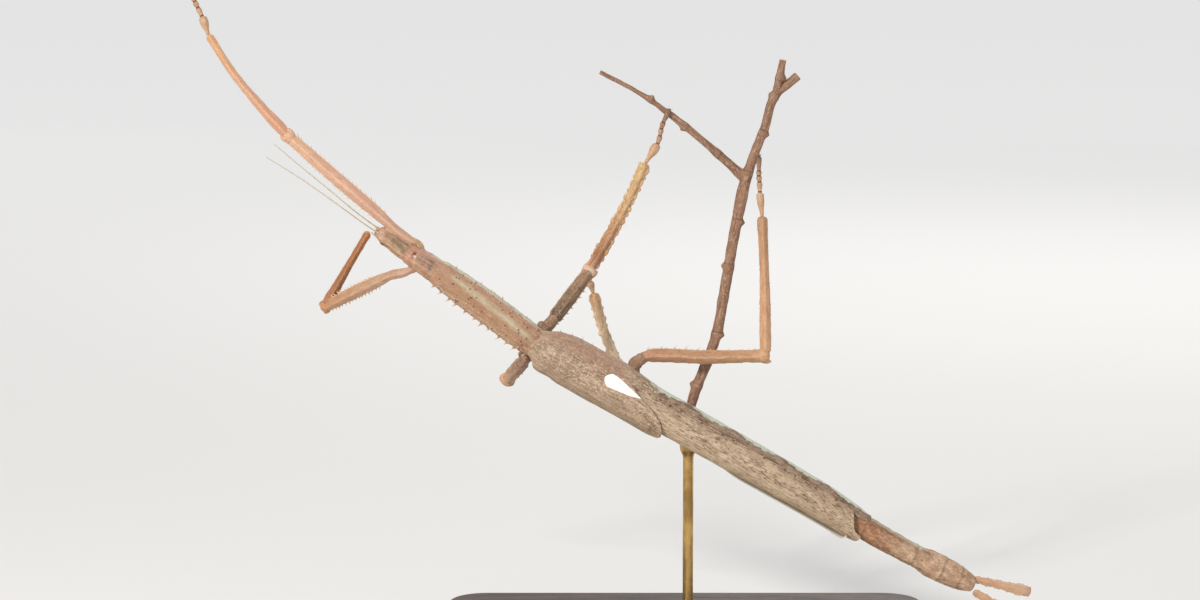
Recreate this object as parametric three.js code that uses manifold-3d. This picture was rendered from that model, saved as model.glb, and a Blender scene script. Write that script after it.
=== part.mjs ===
// A large winged stick insect hanging from a forked twig by its right legs, as a life-size model on a display stand.
// Millimetres, +Z up, +X towards the tail, -Y the side its back is turned to.
// The origin is the centre of the underside of the stand's base, straight under the rod and the branch's cut end.
import * as THREE from "three";
import { mergeVertices } from "three/addons/utils/BufferGeometryUtils.js";
import Module from "manifold-3d";

const wasm = await Module();
wasm.setup();

// ---- Driving dimensions ----

const GAP = 0.3; // between neighbouring pieces
const BODY_PLANE = -13; // the body's middle hangs this far in front of the branch
const ROLL = THREE.MathUtils.degToRad(20); // the back faces -Y, turned up by this much

// The body's middle line in its plane, as x and z, from the front of the head to the tail end.
const BODY_LINE = [
  [-93.4, 133.1], // front of the head
  [-84.2, 126.1], // neck
  [-76.1, 120.8], // back of the prothorax
  [-60, 109], // middle of the mesothorax
  [-45, 98], // back of the mesothorax
  [-31.5, 90.4], // metathorax
  [-14.9, 81.6], // second abdominal segment
  [33.5, 54.3], // fifth abdominal segment
  [60.9, 37.9], // seventh abdominal segment
  [76.2, 29.8], // eighth abdominal segment
  [86.9, 24.4], // tail end
];

// Places along the body line where one piece ends and the next begins, in mm from the front of the head.
const NECK = 11;
const PROTHORAX_END = 20.8;
const MESOTHORAX_END = 59;
const METATHORAX_END = 92;
const ABDOMEN_SEGMENTS = [METATHORAX_END, 108, 124, 140, 156, 172.5, 190, 199.5, 205.5, 210.3];

// Half width and half height along the body, as [place, half size].
const HEAD_WIDTH = [[0, 1.5], [1.5, 2.2], [4, 2.6], [8, 2.85], [NECK, 2.5]];
const HEAD_HEIGHT = [[0, 1.4], [1.5, 2.1], [4, 2.5], [8, 2.6], [NECK, 2.2]];
const THORAX_WIDTH = [[NECK, 3.1], [15, 3.7], [21, 3.7], [27, 4.2], [40, 4.75], [52, 4.75], [MESOTHORAX_END, 4.3]];
const THORAX_HEIGHT = [[NECK, 2.7], [15, 3.2], [21, 3.2], [27, 3.7], [40, 4.2], [52, 4.2], [MESOTHORAX_END, 3.8]];
const ABDOMEN_WIDTH = [[MESOTHORAX_END, 4.5], [75, 4.6], [100, 4.2], [140, 3.9], [172, 3.6], [190, 3.3], [197, 4],
  [203, 3.6], [211, 2]];
const ABDOMEN_HEIGHT = [[MESOTHORAX_END, 3.9], [75, 3.9], [100, 3.5], [140, 3.2], [172, 2.8], [190, 2.6], [197, 2.9],
  [203, 2.4], [211, 1.4]];

const EGG_PLATE = {
  span: [194, 210.5],
  keel: [[194, 0.8], [202, 1.6], [208, 1.5], [210.5, 0.9]],
  reach: THREE.MathUtils.degToRad(62),
};

const EYE_RADIUS = 0.95;
const EYE_PLACE = 3.4; // behind the front of the head
const MOUTH = { width: 1.2, depth: 1.5 };

// The wing cases and wings: where they start and end along the body, and the half size of their outer side.
const LEFT_TEGMEN = {
  span: [57, 104.5],
  width: [[57, 5.2], [62, 6.4], [70, 7.3], [85, 7.7], [98, 8], [104.5, 7.9]],
  inner: [[57, -30], [61, 0], [68, 13], [85, 14], [92, 0], [98, -27], [102.5, -48], [104.5, -70]],
  outer: [[57, -62], [61, -92], [66, -104], [92, -108], [101, -106], [104.5, -86]],
};
const RIGHT_TEGMEN = {
  span: [57.4, 101.5],
  width: [[57, 5.2], [62, 7.1], [70, 8], [85, 7.9], [95, 7.3], [101.5, 7]],
  inner: [[57, 30], [61, 22], [68, 21], [84, 22.5], [90, 26], [96, 40], [100, 54], [101.5, 66]],
  outer: [[57, 62], [61, 84], [66, 92], [92, 92], [98, 92], [101.5, 82]],
};
const TEGMEN_HEIGHT = [[57, 4.7], [62, 5.7], [70, 6.5], [85, 6.8], [104.5, 6.6]];
const HIND_WING = {
  span: [64, 171.5],
  width: [[64, 5.3], [85, 6.4], [101, 6.3], [130, 6], [155, 5.7], [171.5, 5.4]],
  height: [[64, 4.8], [85, 5.5], [101, 5.4], [130, 5.2], [155, 5], [171.5, 4.8]],
  inner: [[64, 4], [75, 12], [100, 22], [160, 22], [171.5, 14]],
  outer: [[64, 20], [75, 60], [85, 88], [100, 92], [125, 106], [160, 110], [168, 108], [171.5, 98]],
  seam: 3.5,
};
const FAN = { span: [95, 168.5], thickness: 0.5, inner: 4, outer: 118 };
const SHELL_THICKNESS = 0.6;

// Leg joints, as [x, y, z]: the coxa, the femur down to the knee, the tibia beyond the knee to the ankle,
// and the ends of the five foot segments. Each foreleg's femur is thin and bent where it passes the head.
// Rows of spines stand on the femur's edges: 1 is the edge towards along x +Y, -1 the other.
const LEGS = {
  fore_right: {
    coxa: [[-80.2, -10.6, 125], [-81.9, -12.2, 129.2]],
    femur: [[-82.3, -12.7, 129.6], [-83.9, -13.3, 130.6], [-87.4, -13.5, 133], [-92.8, -12.5, 137.4], [-106.9, -10.5, 149.3],
      [-120.3, -9, 161]],
    tibia: [[-126.9, -8.2, 168], [-136.5, -6.4, 179.3], [-144.1, -5, 190.9]],
    spines: [{ edge: 1, from: 0.35, to: 0.95, count: 7 }, { edge: -1, from: 0.32, to: 0.95, count: 7 }],
    foot: [[-146.1, -4, 196.5], [-147.3, -3.6, 198.9], [-148.2, -3.2, 200.7], [-148.8, -3, 202.1], [-150.3, -2, 206.3]],
  },
  fore_left: {
    coxa: [[-82, -10, 122.2], [-84.2, -8.4, 120.4]],
    femur: [[-84.6, -8.2, 120.2], [-86.5, -6.8, 119.4], [-90, -3.6, 118.3], [-95, 2, 115.5], [-113, 29, 103.9]],
    tibia: [[-104.6, 15.5, 118.4], [-97.6, 4, 130.2]],
    spines: [{ edge: 1, from: 0.35, to: 0.93, count: 6 }, { edge: -1, from: 0.35, to: 0.8, count: 6 }],
    foot: [[-98.2, 8.6, 129.3], [-98.5, 10.8, 128.9], [-98.7, 12.4, 128.6], [-98.9, 13.9, 128.3], [-99.4, 17.2, 127.6]],
  },
  middle_right: {
    thick: 1.15,
    coxa: [[-45.7, -9.8, 101.2], [-42.8, -8.4, 103.4]],
    femur: [[-42.3, -8.1, 103.9], [-30.1, 14, 117.4]],
    tibia: [[-23, 9.5, 130.5], [-18.5, 6.2, 139.4], [-13.2, 2, 151.8]],
    spines: [{ edge: -1, from: 0.12, to: 0.9, count: 5 }],
    foot: [[-9.6, 0.3, 157.9], [-8.9, -0.4, 160.3], [-8.5, -0.9, 162.5], [-7.9, -1.3, 164.4], [-6.2, -1.7, 168]],
  },
  middle_left: {
    thick: 1.15,
    coxa: [[-48.8, -11.5, 95.8], [-49.6, -8.6, 93.6]],
    femur: [[-49.7, -8.2, 93.3], [-55.8, 16, 82.9]],
    tibia: [[-55.7, 34, 81.1], [-55.4, 52, 79.6]],
    spines: [{ edge: 1, from: 0.12, to: 0.9, count: 5 }],
    foot: [[-55.3, 58, 79.1], [-55.3, 60.2, 79], [-55.2, 62.1, 78.9], [-55.2, 63.9, 78.8], [-55.1, 67.2, 78.5]],
  },
  hind_right: {
    thick: 1.12,
    coxa: [[-18.8, -9.6, 86.2], [-16.7, -7.8, 91]],
    femur: [[-16.3, -7.6, 91.8], [-13.2, -7.4, 93.9], [-9.2, -7.3, 94.3], [4.8, -6.7, 93.7], [23.1, -6, 94]],
    tibia: [[22.8, -5, 115], [21.9, -4, 136.3]],
    spines: [{ edge: 1, from: 0.17, to: 0.5, count: 4, height: 1.5 }, { edge: -1, from: 0.5, to: 0.9, count: 2 }],
    foot: [[21.2, -3.5, 143.5], [21.1, -3, 146.5], [20.9, -3, 148.3], [20.9, -2.8, 149.8], [20.9, -2.2, 154.2]],
  },
  hind_left: {
    coxa: [[-20.7, -11, 79.9], [-19.9, -7.6, 78.2]],
    femur: [[-19.8, -7.2, 78], [-14.6, 24, 68.9]],
    tibia: [[-23.4, 23.1, 91.2], [-25.9, 22.8, 97.5], [-29.1, 21.4, 109.4]],
    spines: [{ edge: 1, from: 0.15, to: 0.6, count: 4, height: 1.2 }],
    foot: [[-30.1, 20.4, 113.2], [-30.1, 19.6, 115], [-29.8, 19.2, 116.4], [-29.2, 18.8, 117.8], [-27.4, 18, 120.8]],
  },
};

// Half widths of each leg piece, seen from the front, at places from 0 to 1 along it.
const COXA_WIDTH = [[0, 1.35], [0.6, 1.5], [1, 1.1]];
const HIP_WIDTH = [[0, 1.5], [0.6, 2.2], [1, 1.8]];
const LONG_FEMUR_WIDTH = [[0, 0.7], [0.12, 0.8], [0.25, 1.6], [0.5, 1.95], [0.85, 1.8], [1, 1.7]];
const FEMUR_WIDTH = [[0, 1.2], [0.15, 1.8], [0.5, 1.9], [0.85, 1.75], [1, 1.85]];
const TIBIA_WIDTH = [[0, 1], [0.1, 1.6], [0.4, 1.4], [0.9, 1.2], [1, 1.4]];
const FLATNESS = 0.75; // a leg's depth for its width
const FOOT_HALF_WIDTH = 0.75;
const CLAW_LENGTH = 1.5;

const SPINE_HEIGHT = 0.95;
const SPINE_RADIUS = 0.42;

const FEELERS = {
  right: [[-92.4, -12.6, 132.9], [-99.1, -12, 137.7], [-107.7, -12, 144.9], [-116.6, -12, 152.3], [-124.3, -12, 158.9]],
  left: [[-91.6, -14.6, 131.4], [-96.3, -14.6, 134.4], [-107.5, -15.2, 142.7], [-116.4, -15.4, 149], [-126.4, -15.4, 155.3]],
};
const FEELER_RADIUS = 0.3;

const CERCI = {
  right: [[86.6, -12.4, 26.3], [94.6, -12, 24.4], [104, -12, 22.1]],
  left: [[86.2, -14.2, 22.9], [93.2, -14.5, 18.9], [102.1, -14.5, 14.6]],
};
const CERCUS_WIDTH = [[0, 0.75], [0.15, 1.25], [0.5, 1.35], [0.85, 1.85], [1, 1.2]];
const CERCUS_FLATNESS = 0.3;

// The branch from its upper cut end down to the stand, its short side fork, and the twig that the middle leg grips.
const BRANCH = [[32.7, 2, 178.1], [25.8, 1, 172.2], [22.8, 0.5, 163.1], [17.4, 0, 148], [14.8, 0, 136.2],
  [11.9, 0, 119.4], [8, 0, 97.9], [2.4, 0, 83], [0, 0, 74], [0, 0, 66]];
const BRANCH_RADIUS = [[0, 1.25], [0.08, 1.3], [0.2, 1.25], [0.35, 1.6], [0.45, 1.4], [0.7, 1.5], [1, 1.5]];
const FORK = [[25.6, 1, 171], [28.1, 0, 183.1]];
const TWIG = [[15.2, 0.2, 148.9], [9.4, 0.3, 154.1], [-4.1, 0.4, 165.3], [-14.6, 0.4, 172.8], [-27, 0, 179.5]];
const TWIG_RADIUS = [[0, 1.5], [0.15, 1.25], [0.45, 1], [0.5, 1.15], [0.6, 0.75], [1, 0.6]];

const BASE = { length: 150, depth: 90, height: 9, corner: 12, chamfer: 1 };
const ROD_RADIUS = 1.6;
const CUP = { outer: 2.6, inner: 1.9, floor: 65.2, rim: 70.5 };

// ---- Materials ----

const COLOURS = {
  body: [0.62, 0.47, 0.36],
  wing: [0.6, 0.51, 0.42],
  leg: [0.72, 0.47, 0.33],
  eye: [0.35, 0.24, 0.17],
  feeler: [0.78, 0.74, 0.64],
  cercus: [0.85, 0.62, 0.45],
  bark: [0.55, 0.38, 0.3],
  base: [0.1, 0.09, 0.08],
  rod: [0.7, 0.56, 0.3],
};

const insect = new THREE.Group();

// Adds a closed geometry as a named mesh in one of the colours.
function place(name, geometry, colour, roughness = 0.7, metalness = 0) {
  const material = new THREE.MeshStandardMaterial({
    color: new THREE.Color(...COLOURS[colour]),
    roughness,
    metalness,
  });
  const mesh = new THREE.Mesh(geometry, material);
  mesh.name = name;
  insect.add(mesh);
  return mesh;
}

// ---- Solids ----

// A closed geometry as a solid that can be joined and cut.
function solidOf(geometry) {
  const bare = new THREE.BufferGeometry();
  bare.setAttribute("position", geometry.getAttribute("position"));
  bare.setIndex(geometry.index);
  const merged = mergeVertices(bare, 1e-4);
  return new wasm.Manifold(
    new wasm.Mesh({
      numProp: 3,
      vertProperties: new Float32Array(merged.attributes.position.array),
      triVerts: new Uint32Array(merged.index.array),
    }),
  );
}

// The largest body of a solid as a geometry.
function geometryOf(solid) {
  const bodies = solid.decompose().sort((a, b) => b.volume() - a.volume());
  const mesh = bodies[0].getMesh();
  const geometry = new THREE.BufferGeometry();
  geometry.setAttribute("position", new THREE.BufferAttribute(new Float32Array(mesh.vertProperties), 3));
  geometry.setIndex(new THREE.BufferAttribute(new Uint32Array(mesh.triVerts), 1));
  geometry.computeVertexNormals();
  return geometry;
}

function join(solids) {
  return solids.reduce((whole, solid) => whole.add(solid));
}

function cut(solid, cutters) {
  return cutters.reduce((rest, cutter) => rest.subtract(cutter), solid);
}

// A smooth value between a few [place, value] pairs.
function profile(pairs) {
  const places = pairs.map(([at]) => at);
  const values = pairs.map(([, value]) => value);
  const first = places[0];
  const last = places[places.length - 1];
  const curve = new THREE.CubicInterpolant(places, values, 1);
  return (at) => curve.evaluate(THREE.MathUtils.clamp(at, first, last))[0];
}

// A geometry from points and triangles, turned right side out.
function closedGeometry(points, triangles) {
  const geometry = new THREE.BufferGeometry();
  geometry.setAttribute("position", new THREE.Float32BufferAttribute(points.flatMap((p) => p.toArray()), 3));
  let volume = 0;
  for (const [a, b, c] of triangles) {
    volume += points[a].dot(new THREE.Vector3().crossVectors(points[b], points[c]));
  }
  const turned = volume < 0 ? triangles.map(([a, b, c]) => [a, c, b]) : triangles;
  geometry.setIndex(turned.flat());
  geometry.computeVertexNormals();
  return geometry;
}

// A closed surface through a stack of rings of equally many points, with a fan over each end.
function loft(rings) {
  const sides = rings[0].length;
  const points = rings.flat();
  const triangles = [];
  for (let r = 0; r < rings.length - 1; r++) {
    for (let i = 0; i < sides; i++) {
      const a = r * sides + i;
      const b = r * sides + ((i + 1) % sides);
      triangles.push([a, b, a + sides], [b, b + sides, a + sides]);
    }
  }
  const lastRing = (rings.length - 1) * sides;
  for (const [ring, start, flip] of [[rings[0], 0, true], [rings[rings.length - 1], lastRing, false]]) {
    const middle = ring.reduce((sum, p) => sum.add(p), new THREE.Vector3()).divideScalar(sides);
    points.push(middle);
    for (let i = 0; i < sides; i++) {
      const a = start + i;
      const b = start + ((i + 1) % sides);
      triangles.push(flip ? [b, a, points.length - 1] : [a, b, points.length - 1]);
    }
  }
  return closedGeometry(points, triangles);
}

// A thin closed wall between two grids of points of the same size.
function wall(outer, inner) {
  const rows = outer.length;
  const columns = outer[0].length;
  const points = [...outer.flat(), ...inner.flat()];
  const under = rows * columns;
  const at = (row, column) => row * columns + column;
  const triangles = [];
  for (let r = 0; r < rows - 1; r++) {
    for (let c = 0; c < columns - 1; c++) {
      const corners = [at(r, c), at(r, c + 1), at(r + 1, c), at(r + 1, c + 1)];
      triangles.push([corners[0], corners[1], corners[2]], [corners[1], corners[3], corners[2]]);
      const [i, j, k, l] = corners.map((corner) => corner + under);
      triangles.push([j, i, k], [l, j, k]);
    }
  }
  const rim = [];
  for (let c = 0; c < columns - 1; c++) rim.push(at(0, c));
  for (let r = 0; r < rows - 1; r++) rim.push(at(r, columns - 1));
  for (let c = columns - 1; c > 0; c--) rim.push(at(rows - 1, c));
  for (let r = rows - 1; r > 0; r--) rim.push(at(r, 0));
  rim.forEach((a, i) => {
    const b = rim[(i + 1) % rim.length];
    triangles.push([b, a, b + under], [a, a + under, b + under]);
  });
  return closedGeometry(points, triangles);
}

// ---- The body's own frame ----

const bodyLine = new THREE.CatmullRomCurve3(
  BODY_LINE.map(([x, z]) => new THREE.Vector3(x, BODY_PLANE, z)),
  false,
  "centripetal",
);
bodyLine.arcLengthDivisions = 2000;
const BODY_LENGTH = bodyLine.getLength();

// Middle, right hand side and back of the body at a place along it.
function bodyFrame(at) {
  const along = THREE.MathUtils.clamp(at / BODY_LENGTH, 0, 1);
  const middle = bodyLine.getPointAt(along);
  const tail = bodyLine.getTangentAt(along);
  middle.addScaledVector(tail, at - along * BODY_LENGTH);
  const across = new THREE.Vector3(-tail.z, 0, tail.x);
  const away = new THREE.Vector3(0, 1, 0);
  const right = across.clone().multiplyScalar(Math.cos(ROLL)).addScaledVector(away, Math.sin(ROLL));
  const back = across.clone().multiplyScalar(Math.sin(ROLL)).addScaledVector(away, -Math.cos(ROLL));
  return { middle, tail, right, back };
}

// A point at a place along the body, at an angle from the middle of the back towards its right.
function bodyPoint(at, angle, width, height, lift = 0) {
  const { middle, right, back } = bodyFrame(at);
  return middle
    .addScaledVector(right, width * Math.sin(angle))
    .addScaledVector(back, height * Math.cos(angle) + lift);
}

function bodyRing(at, width, height, sides, lift = 0) {
  return Array.from({ length: sides }, (_, i) => bodyPoint(at, (2 * Math.PI * i) / sides, width, height, lift));
}

// A length of the body between two places, with slightly rounded ends, grown outwards by a margin.
function bodyLength({ from, to, width, height, rings, sides, lift = () => 0, margin = 0 }) {
  const END_ROUNDING = 0.07;
  const stack = [];
  for (let r = 0; r <= rings; r++) {
    const t = r / rings;
    const at = from + (to - from) * t;
    const round = 1 - END_ROUNDING * Math.abs(2 * t - 1) ** 12;
    stack.push(bodyRing(at, width(at) * round + margin, height(at) * round + margin, sides, lift(at)));
  }
  return loft(stack);
}

// ---- Spines ----

// A three-sided spine standing at a point along a direction.
function spineSolid(foot, direction, height = SPINE_HEIGHT) {
  const SINK = 0.5;
  const cone = new THREE.ConeGeometry(SPINE_RADIUS, height + SINK, 3);
  cone.translate(0, (height - SINK) / 2, 0);
  cone.applyQuaternion(
    new THREE.Quaternion().setFromUnitVectors(new THREE.Vector3(0, 1, 0), direction.clone().normalize()),
  );
  cone.translate(foot.x, foot.y, foot.z);
  return solidOf(cone);
}

// ---- Head ----

const headWidth = profile(HEAD_WIDTH);
const headHeight = profile(HEAD_HEIGHT);
const headLift = profile([[0, -0.7], [4, -0.2], [NECK, 0]]);

// An eye on one side of the head: -1 is the left side, 1 the right.
function eyeSolid(side, radius) {
  const ANGLE = THREE.MathUtils.degToRad(68);
  const SINK = 0.3;
  const width = headWidth(EYE_PLACE) - SINK;
  const height = headHeight(EYE_PLACE) - SINK;
  const centre = bodyPoint(EYE_PLACE, side * ANGLE, width, height, headLift(EYE_PLACE));
  const eye = new THREE.SphereGeometry(radius, 8, 5);
  eye.translate(centre.x, centre.y, centre.z);
  return solidOf(eye);
}

// The mouth parts under the front of the head, grown by a margin.
function mouthSolid(margin = 0) {
  const mouth = new THREE.SphereGeometry(1, 6, 4);
  mouth.scale(MOUTH.width + margin, MOUTH.width + margin, MOUTH.depth + margin);
  const centre = mouthCentre();
  mouth.translate(centre.x, centre.y, centre.z);
  return solidOf(mouth);
}

function mouthCentre() {
  return bodyPoint(0.3, 0, 0, 0, -1.1);
}

// A feeler of the mouth, bent once, from under the mouth forwards.
function palpSolid(side) {
  const { tail, right, back } = bodyFrame(0);
  const root = mouthCentre();
  root.addScaledVector(tail, -0.6).addScaledVector(back, -1.2).addScaledVector(right, side * 0.9);
  const knuckle = root.clone().addScaledVector(back, -1.6).addScaledVector(right, side * 0.7);
  const tip = knuckle.clone().addScaledVector(tail, -1.4).addScaledVector(back, -0.6);
  const points = [root, knuckle, tip].map((p) => p.toArray());
  return solidOf(limb({ points, width: [[0, 0.4], [0.9, 0.36], [1, 0.28]], flatness: 1, rings: 3, sides: 5 }));
}

function feelerGeometry(points) {
  const SCALE = [[0, 2.4], [0.035, 2.4], [0.045, 1.6], [0.08, 1.5], [0.11, 1], [0.6, 1], [1, 0.85]];
  const width = SCALE.map(([place, scale]) => [place, scale * FEELER_RADIUS]);
  return limb({ points, width, flatness: 1, rings: 9, sides: 5 });
}

const skull = { from: 0, to: NECK, width: headWidth, height: headHeight, rings: 6, sides: 12, lift: headLift };

function buildHead() {
  const sockets = [-1, 1].map((side) => eyeSolid(side, EYE_RADIUS + GAP));
  const feelerRoots = Object.values(FEELERS).map((points) => feelerCutter(points));
  const head = cut(join([solidOf(bodyLength(skull)), mouthSolid()]), [...sockets, ...feelerRoots]);
  place("head", geometryOf(head), "body");
  for (const [name, side] of [["left", -1], ["right", 1]]) {
    place(`eye_${name}`, geometryOf(eyeSolid(side, EYE_RADIUS)), "eye", 0.2);
    place(`antenna_${name}`, feelerGeometry(FEELERS[name]), "feeler");
    place(`palp_${name}`, geometryOf(cut(palpSolid(side), [mouthSolid(GAP)])), "body");
  }
}

// The room for a feeler's root in the head.
function feelerCutter(points) {
  const root = { points: points.slice(0, 2), width: [[0, 0.72], [1, 0.72]], flatness: 1, rings: 1, sides: 6 };
  return solidOf(limb({ ...root, margin: 1.5 * GAP }));
}

// ---- Thorax and abdomen ----

const thoraxWidth = profile(THORAX_WIDTH);
const thoraxHeight = profile(THORAX_HEIGHT);
const abdomenWidth = profile(ABDOMEN_WIDTH);
const abdomenHeight = profile(ABDOMEN_HEIGHT);

const mesothorax = {
  from: PROTHORAX_END + GAP,
  to: MESOTHORAX_END,
  width: thoraxWidth,
  height: thoraxHeight,
  rings: 9,
  sides: 14,
};
const prothorax = { ...mesothorax, from: NECK + GAP, to: PROTHORAX_END, rings: 4 };
const metathorax = {
  ...mesothorax,
  from: MESOTHORAX_END + GAP,
  to: METATHORAX_END,
  width: abdomenWidth,
  height: abdomenHeight,
  rings: 5,
  sides: 12,
};

// Rows of spines along the mesothorax: the angle from the middle of the back, the spacing and the height.
const SPINE_ROWS = [
  { angle: -88, from: 25, to: 56, spacing: 3.9, height: 1.4 },
  { angle: 80, from: 26, to: 56, spacing: 5.2, height: 1.1 },
  { angle: -38, from: 27, to: 54, spacing: 6.6, height: 0.9 },
  { angle: 42, from: 30, to: 54, spacing: 6.6, height: 0.9 },
];

function mesothoraxSpines() {
  return SPINE_ROWS.flatMap(({ angle, from, to, spacing, height }) => {
    const turn = THREE.MathUtils.degToRad(angle);
    const spines = [];
    for (let at = from; at <= to; at += spacing) {
      const foot = bodyPoint(at, turn, thoraxWidth(at), thoraxHeight(at));
      spines.push(spineSolid(foot, foot.clone().sub(bodyFrame(at).middle), height));
    }
    return spines;
  });
}

function buildThorax() {
  place("prothorax", bodyLength(prothorax), "body");
  place("mesothorax", geometryOf(join([solidOf(bodyLength(mesothorax)), ...mesothoraxSpines()])), "body");
  place("metathorax", bodyLength(metathorax), "body");
}

// One node of the abdomen, from one segment border to another, each segment a little waisted at its borders.
function abdomenPiece(firstBorder, lastBorder, name, sides = 12) {
  const WAIST = [[0.005, 0.95], [0.3, 1], [0.995, 1.01]];
  const stack = [];
  for (let k = firstBorder; k < lastBorder; k++) {
    const start = ABDOMEN_SEGMENTS[k] + (k === firstBorder ? GAP : 0);
    const end = ABDOMEN_SEGMENTS[k + 1];
    for (const [t, scale] of WAIST) {
      const at = start + (end - start) * t;
      stack.push(bodyRing(at, abdomenWidth(at) * scale, abdomenHeight(at) * scale, sides));
    }
  }
  place(name, loft(stack), "body");
}

function buildAbdomen() {
  abdomenPiece(0, 2, "abdomen_front");
  abdomenPiece(2, 4, "abdomen_middle");
  abdomenPiece(4, 6, "abdomen_rear");
  abdomenPiece(6, 9, "abdomen_tip");
}

// The egg plate: a keeled half gutter under the tail end.
function buildOperculum() {
  const keel = profile(EGG_PLATE.keel);
  const outer = [];
  const inner = [];
  const ROWS = 5;
  const COLUMNS = 6;
  for (let r = 0; r <= ROWS; r++) {
    const at = THREE.MathUtils.lerp(...EGG_PLATE.span, r / ROWS);
    const low = abdomenHeight(at) * 1.02 + GAP;
    const wide = abdomenWidth(at) * 1.02 + GAP;
    const row = (grow) =>
      Array.from({ length: COLUMNS + 1 }, (_, c) => {
        const angle = Math.PI + EGG_PLATE.reach * THREE.MathUtils.lerp(-1, 1, c / COLUMNS);
        return bodyPoint(at, angle, wide + grow * 0.6, low + grow);
      });
    outer.push(row(keel(at)));
    inner.push(row(0));
  }
  place("operculum", wall(outer, inner), "body");
}

function buildCerci() {
  const tailEnd = solidOf(
    bodyLength({ ...metathorax, from: ABDOMEN_SEGMENTS[7], to: BODY_LENGTH + GAP, rings: 3, margin: GAP }),
  );
  for (const [side, points] of Object.entries(CERCI)) {
    const cercus = limb({
      points,
      width: CERCUS_WIDTH,
      flatness: CERCUS_FLATNESS,
      rings: 7,
      sides: 6,
    });
    place(`cercus_${side}`, geometryOf(cut(solidOf(cercus), [tailEnd])), "cercus");
  }
}

// ---- Wings ----

// A curved wing over the body, between an inner edge near the middle of the back and an outer edge low on its side.
function wingShell({ span, width, height, thickness, inner, outer, rows, columns }) {
  const outside = [];
  const inside = [];
  for (let r = 0; r <= rows; r++) {
    const at = THREE.MathUtils.lerp(span[0], span[1], r / rows);
    const line = (shrink) =>
      Array.from({ length: columns + 1 }, (_, c) => {
        const angle = THREE.MathUtils.degToRad(THREE.MathUtils.lerp(inner(at), outer(at), c / columns));
        return bodyPoint(at, angle, width(at) - shrink, height(at) - shrink);
      });
    outside.push(line(0));
    inside.push(line(thickness));
  }
  return wall(outside, inside);
}

const tegmenHeight = profile(TEGMEN_HEIGHT);

// Each wing case narrows to a rounded tip low on its side; the left one laps over the middle of the back.
function buildTegmina() {
  for (const [side, tegmen] of Object.entries({ left: LEFT_TEGMEN, right: RIGHT_TEGMEN })) {
    const shell = wingShell({
      span: tegmen.span,
      width: profile(tegmen.width),
      height: tegmenHeight,
      thickness: SHELL_THICKNESS,
      inner: profile(tegmen.inner),
      outer: profile(tegmen.outer),
      rows: 11,
      columns: 6,
    });
    place(`tegmen_${side}`, shell, "wing");
  }
}

function buildHindWings() {
  const width = profile(HIND_WING.width);
  const height = profile(HIND_WING.height);
  const inner = profile(HIND_WING.inner);
  const outer = profile(HIND_WING.outer);
  const folded = {
    span: HIND_WING.span,
    width,
    height,
    thickness: SHELL_THICKNESS,
    rows: 11,
    columns: 6,
  };
  const seam = HIND_WING.seam;
  place("hind_wing_left", wingShell({ ...folded, inner, outer: (at) => -outer(at) }), "wing");
  place(
    "hind_wing_right",
    wingShell({ ...folded, inner: (at) => inner(at) + seam, outer: (at) => outer(at) + seam }),
    "wing",
  );
  const depth = SHELL_THICKNESS + 1.5 * GAP;
  for (const [side, sign] of [["left", -1], ["right", 1]]) {
    const fan = wingShell({
      span: FAN.span,
      width: (at) => width(at) - depth,
      height: (at) => height(at) - depth,
      thickness: FAN.thickness,
      inner: () => sign * FAN.inner,
      outer: () => sign * FAN.outer,
      rows: 7,
      columns: 4,
    });
    place(`wing_fan_${side}`, fan, "wing");
  }
}

// ---- Legs ----

function pathThrough(points) {
  return new THREE.CatmullRomCurve3(
    points.map((p) => new THREE.Vector3(...p)),
    false,
    "centripetal",
  );
}

// A tapering limb through points, widest across the view from the front, with rounded ends.
// Its half width follows [place from 0 to 1, half width] pairs; a margin grows it all round.
function limb({ points, width, flatness = FLATNESS, rings, sides, margin = 0 }) {
  const path = pathThrough(points);
  const halfWidth = profile(width);
  const length = path.getLength();
  const END = 0.35;
  const places = [0, END / length];
  for (let r = 1; r < rings; r++) places.push(r / rings);
  places.push(1 - END / length, 1);
  const stack = places.map((t, i) => {
    const isEnd = i === 0 || i === places.length - 1;
    const middle = path.getPointAt(t);
    const along = path.getTangentAt(t);
    if (isEnd) middle.addScaledVector(along, i === 0 ? -margin : margin);
    const across = new THREE.Vector3().crossVectors(along, new THREE.Vector3(0, 1, 0)).normalize();
    const deep = new THREE.Vector3().crossVectors(across, along).normalize();
    const size = halfWidth(t) * (isEnd ? 0.72 : 1);
    return Array.from({ length: sides }, (_, k) => {
      const turn = (2 * Math.PI * k) / sides;
      return middle
        .clone()
        .addScaledVector(across, (size + margin) * Math.cos(turn))
        .addScaledVector(deep, (size * flatness + margin) * Math.sin(turn));
    });
  });
  return loft(stack);
}

// A row of spines on one edge of a limb, evenly spread between two of its places.
function edgeSpines({ points, width, edge, from, to, count, height = SPINE_HEIGHT }) {
  const path = pathThrough(points);
  const halfWidth = profile(width);
  return Array.from({ length: count }, (_, k) => {
    const t = THREE.MathUtils.lerp(from, to, k / (count - 1));
    const along = path.getTangentAt(t);
    const across = new THREE.Vector3().crossVectors(along, new THREE.Vector3(0, 1, 0)).normalize();
    const foot = path.getPointAt(t).addScaledVector(across, edge * halfWidth(t) * 0.95);
    const lean = across.clone().multiplyScalar(edge).addScaledVector(along, 0.3);
    return spineSolid(foot, lean, height);
  });
}

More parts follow.
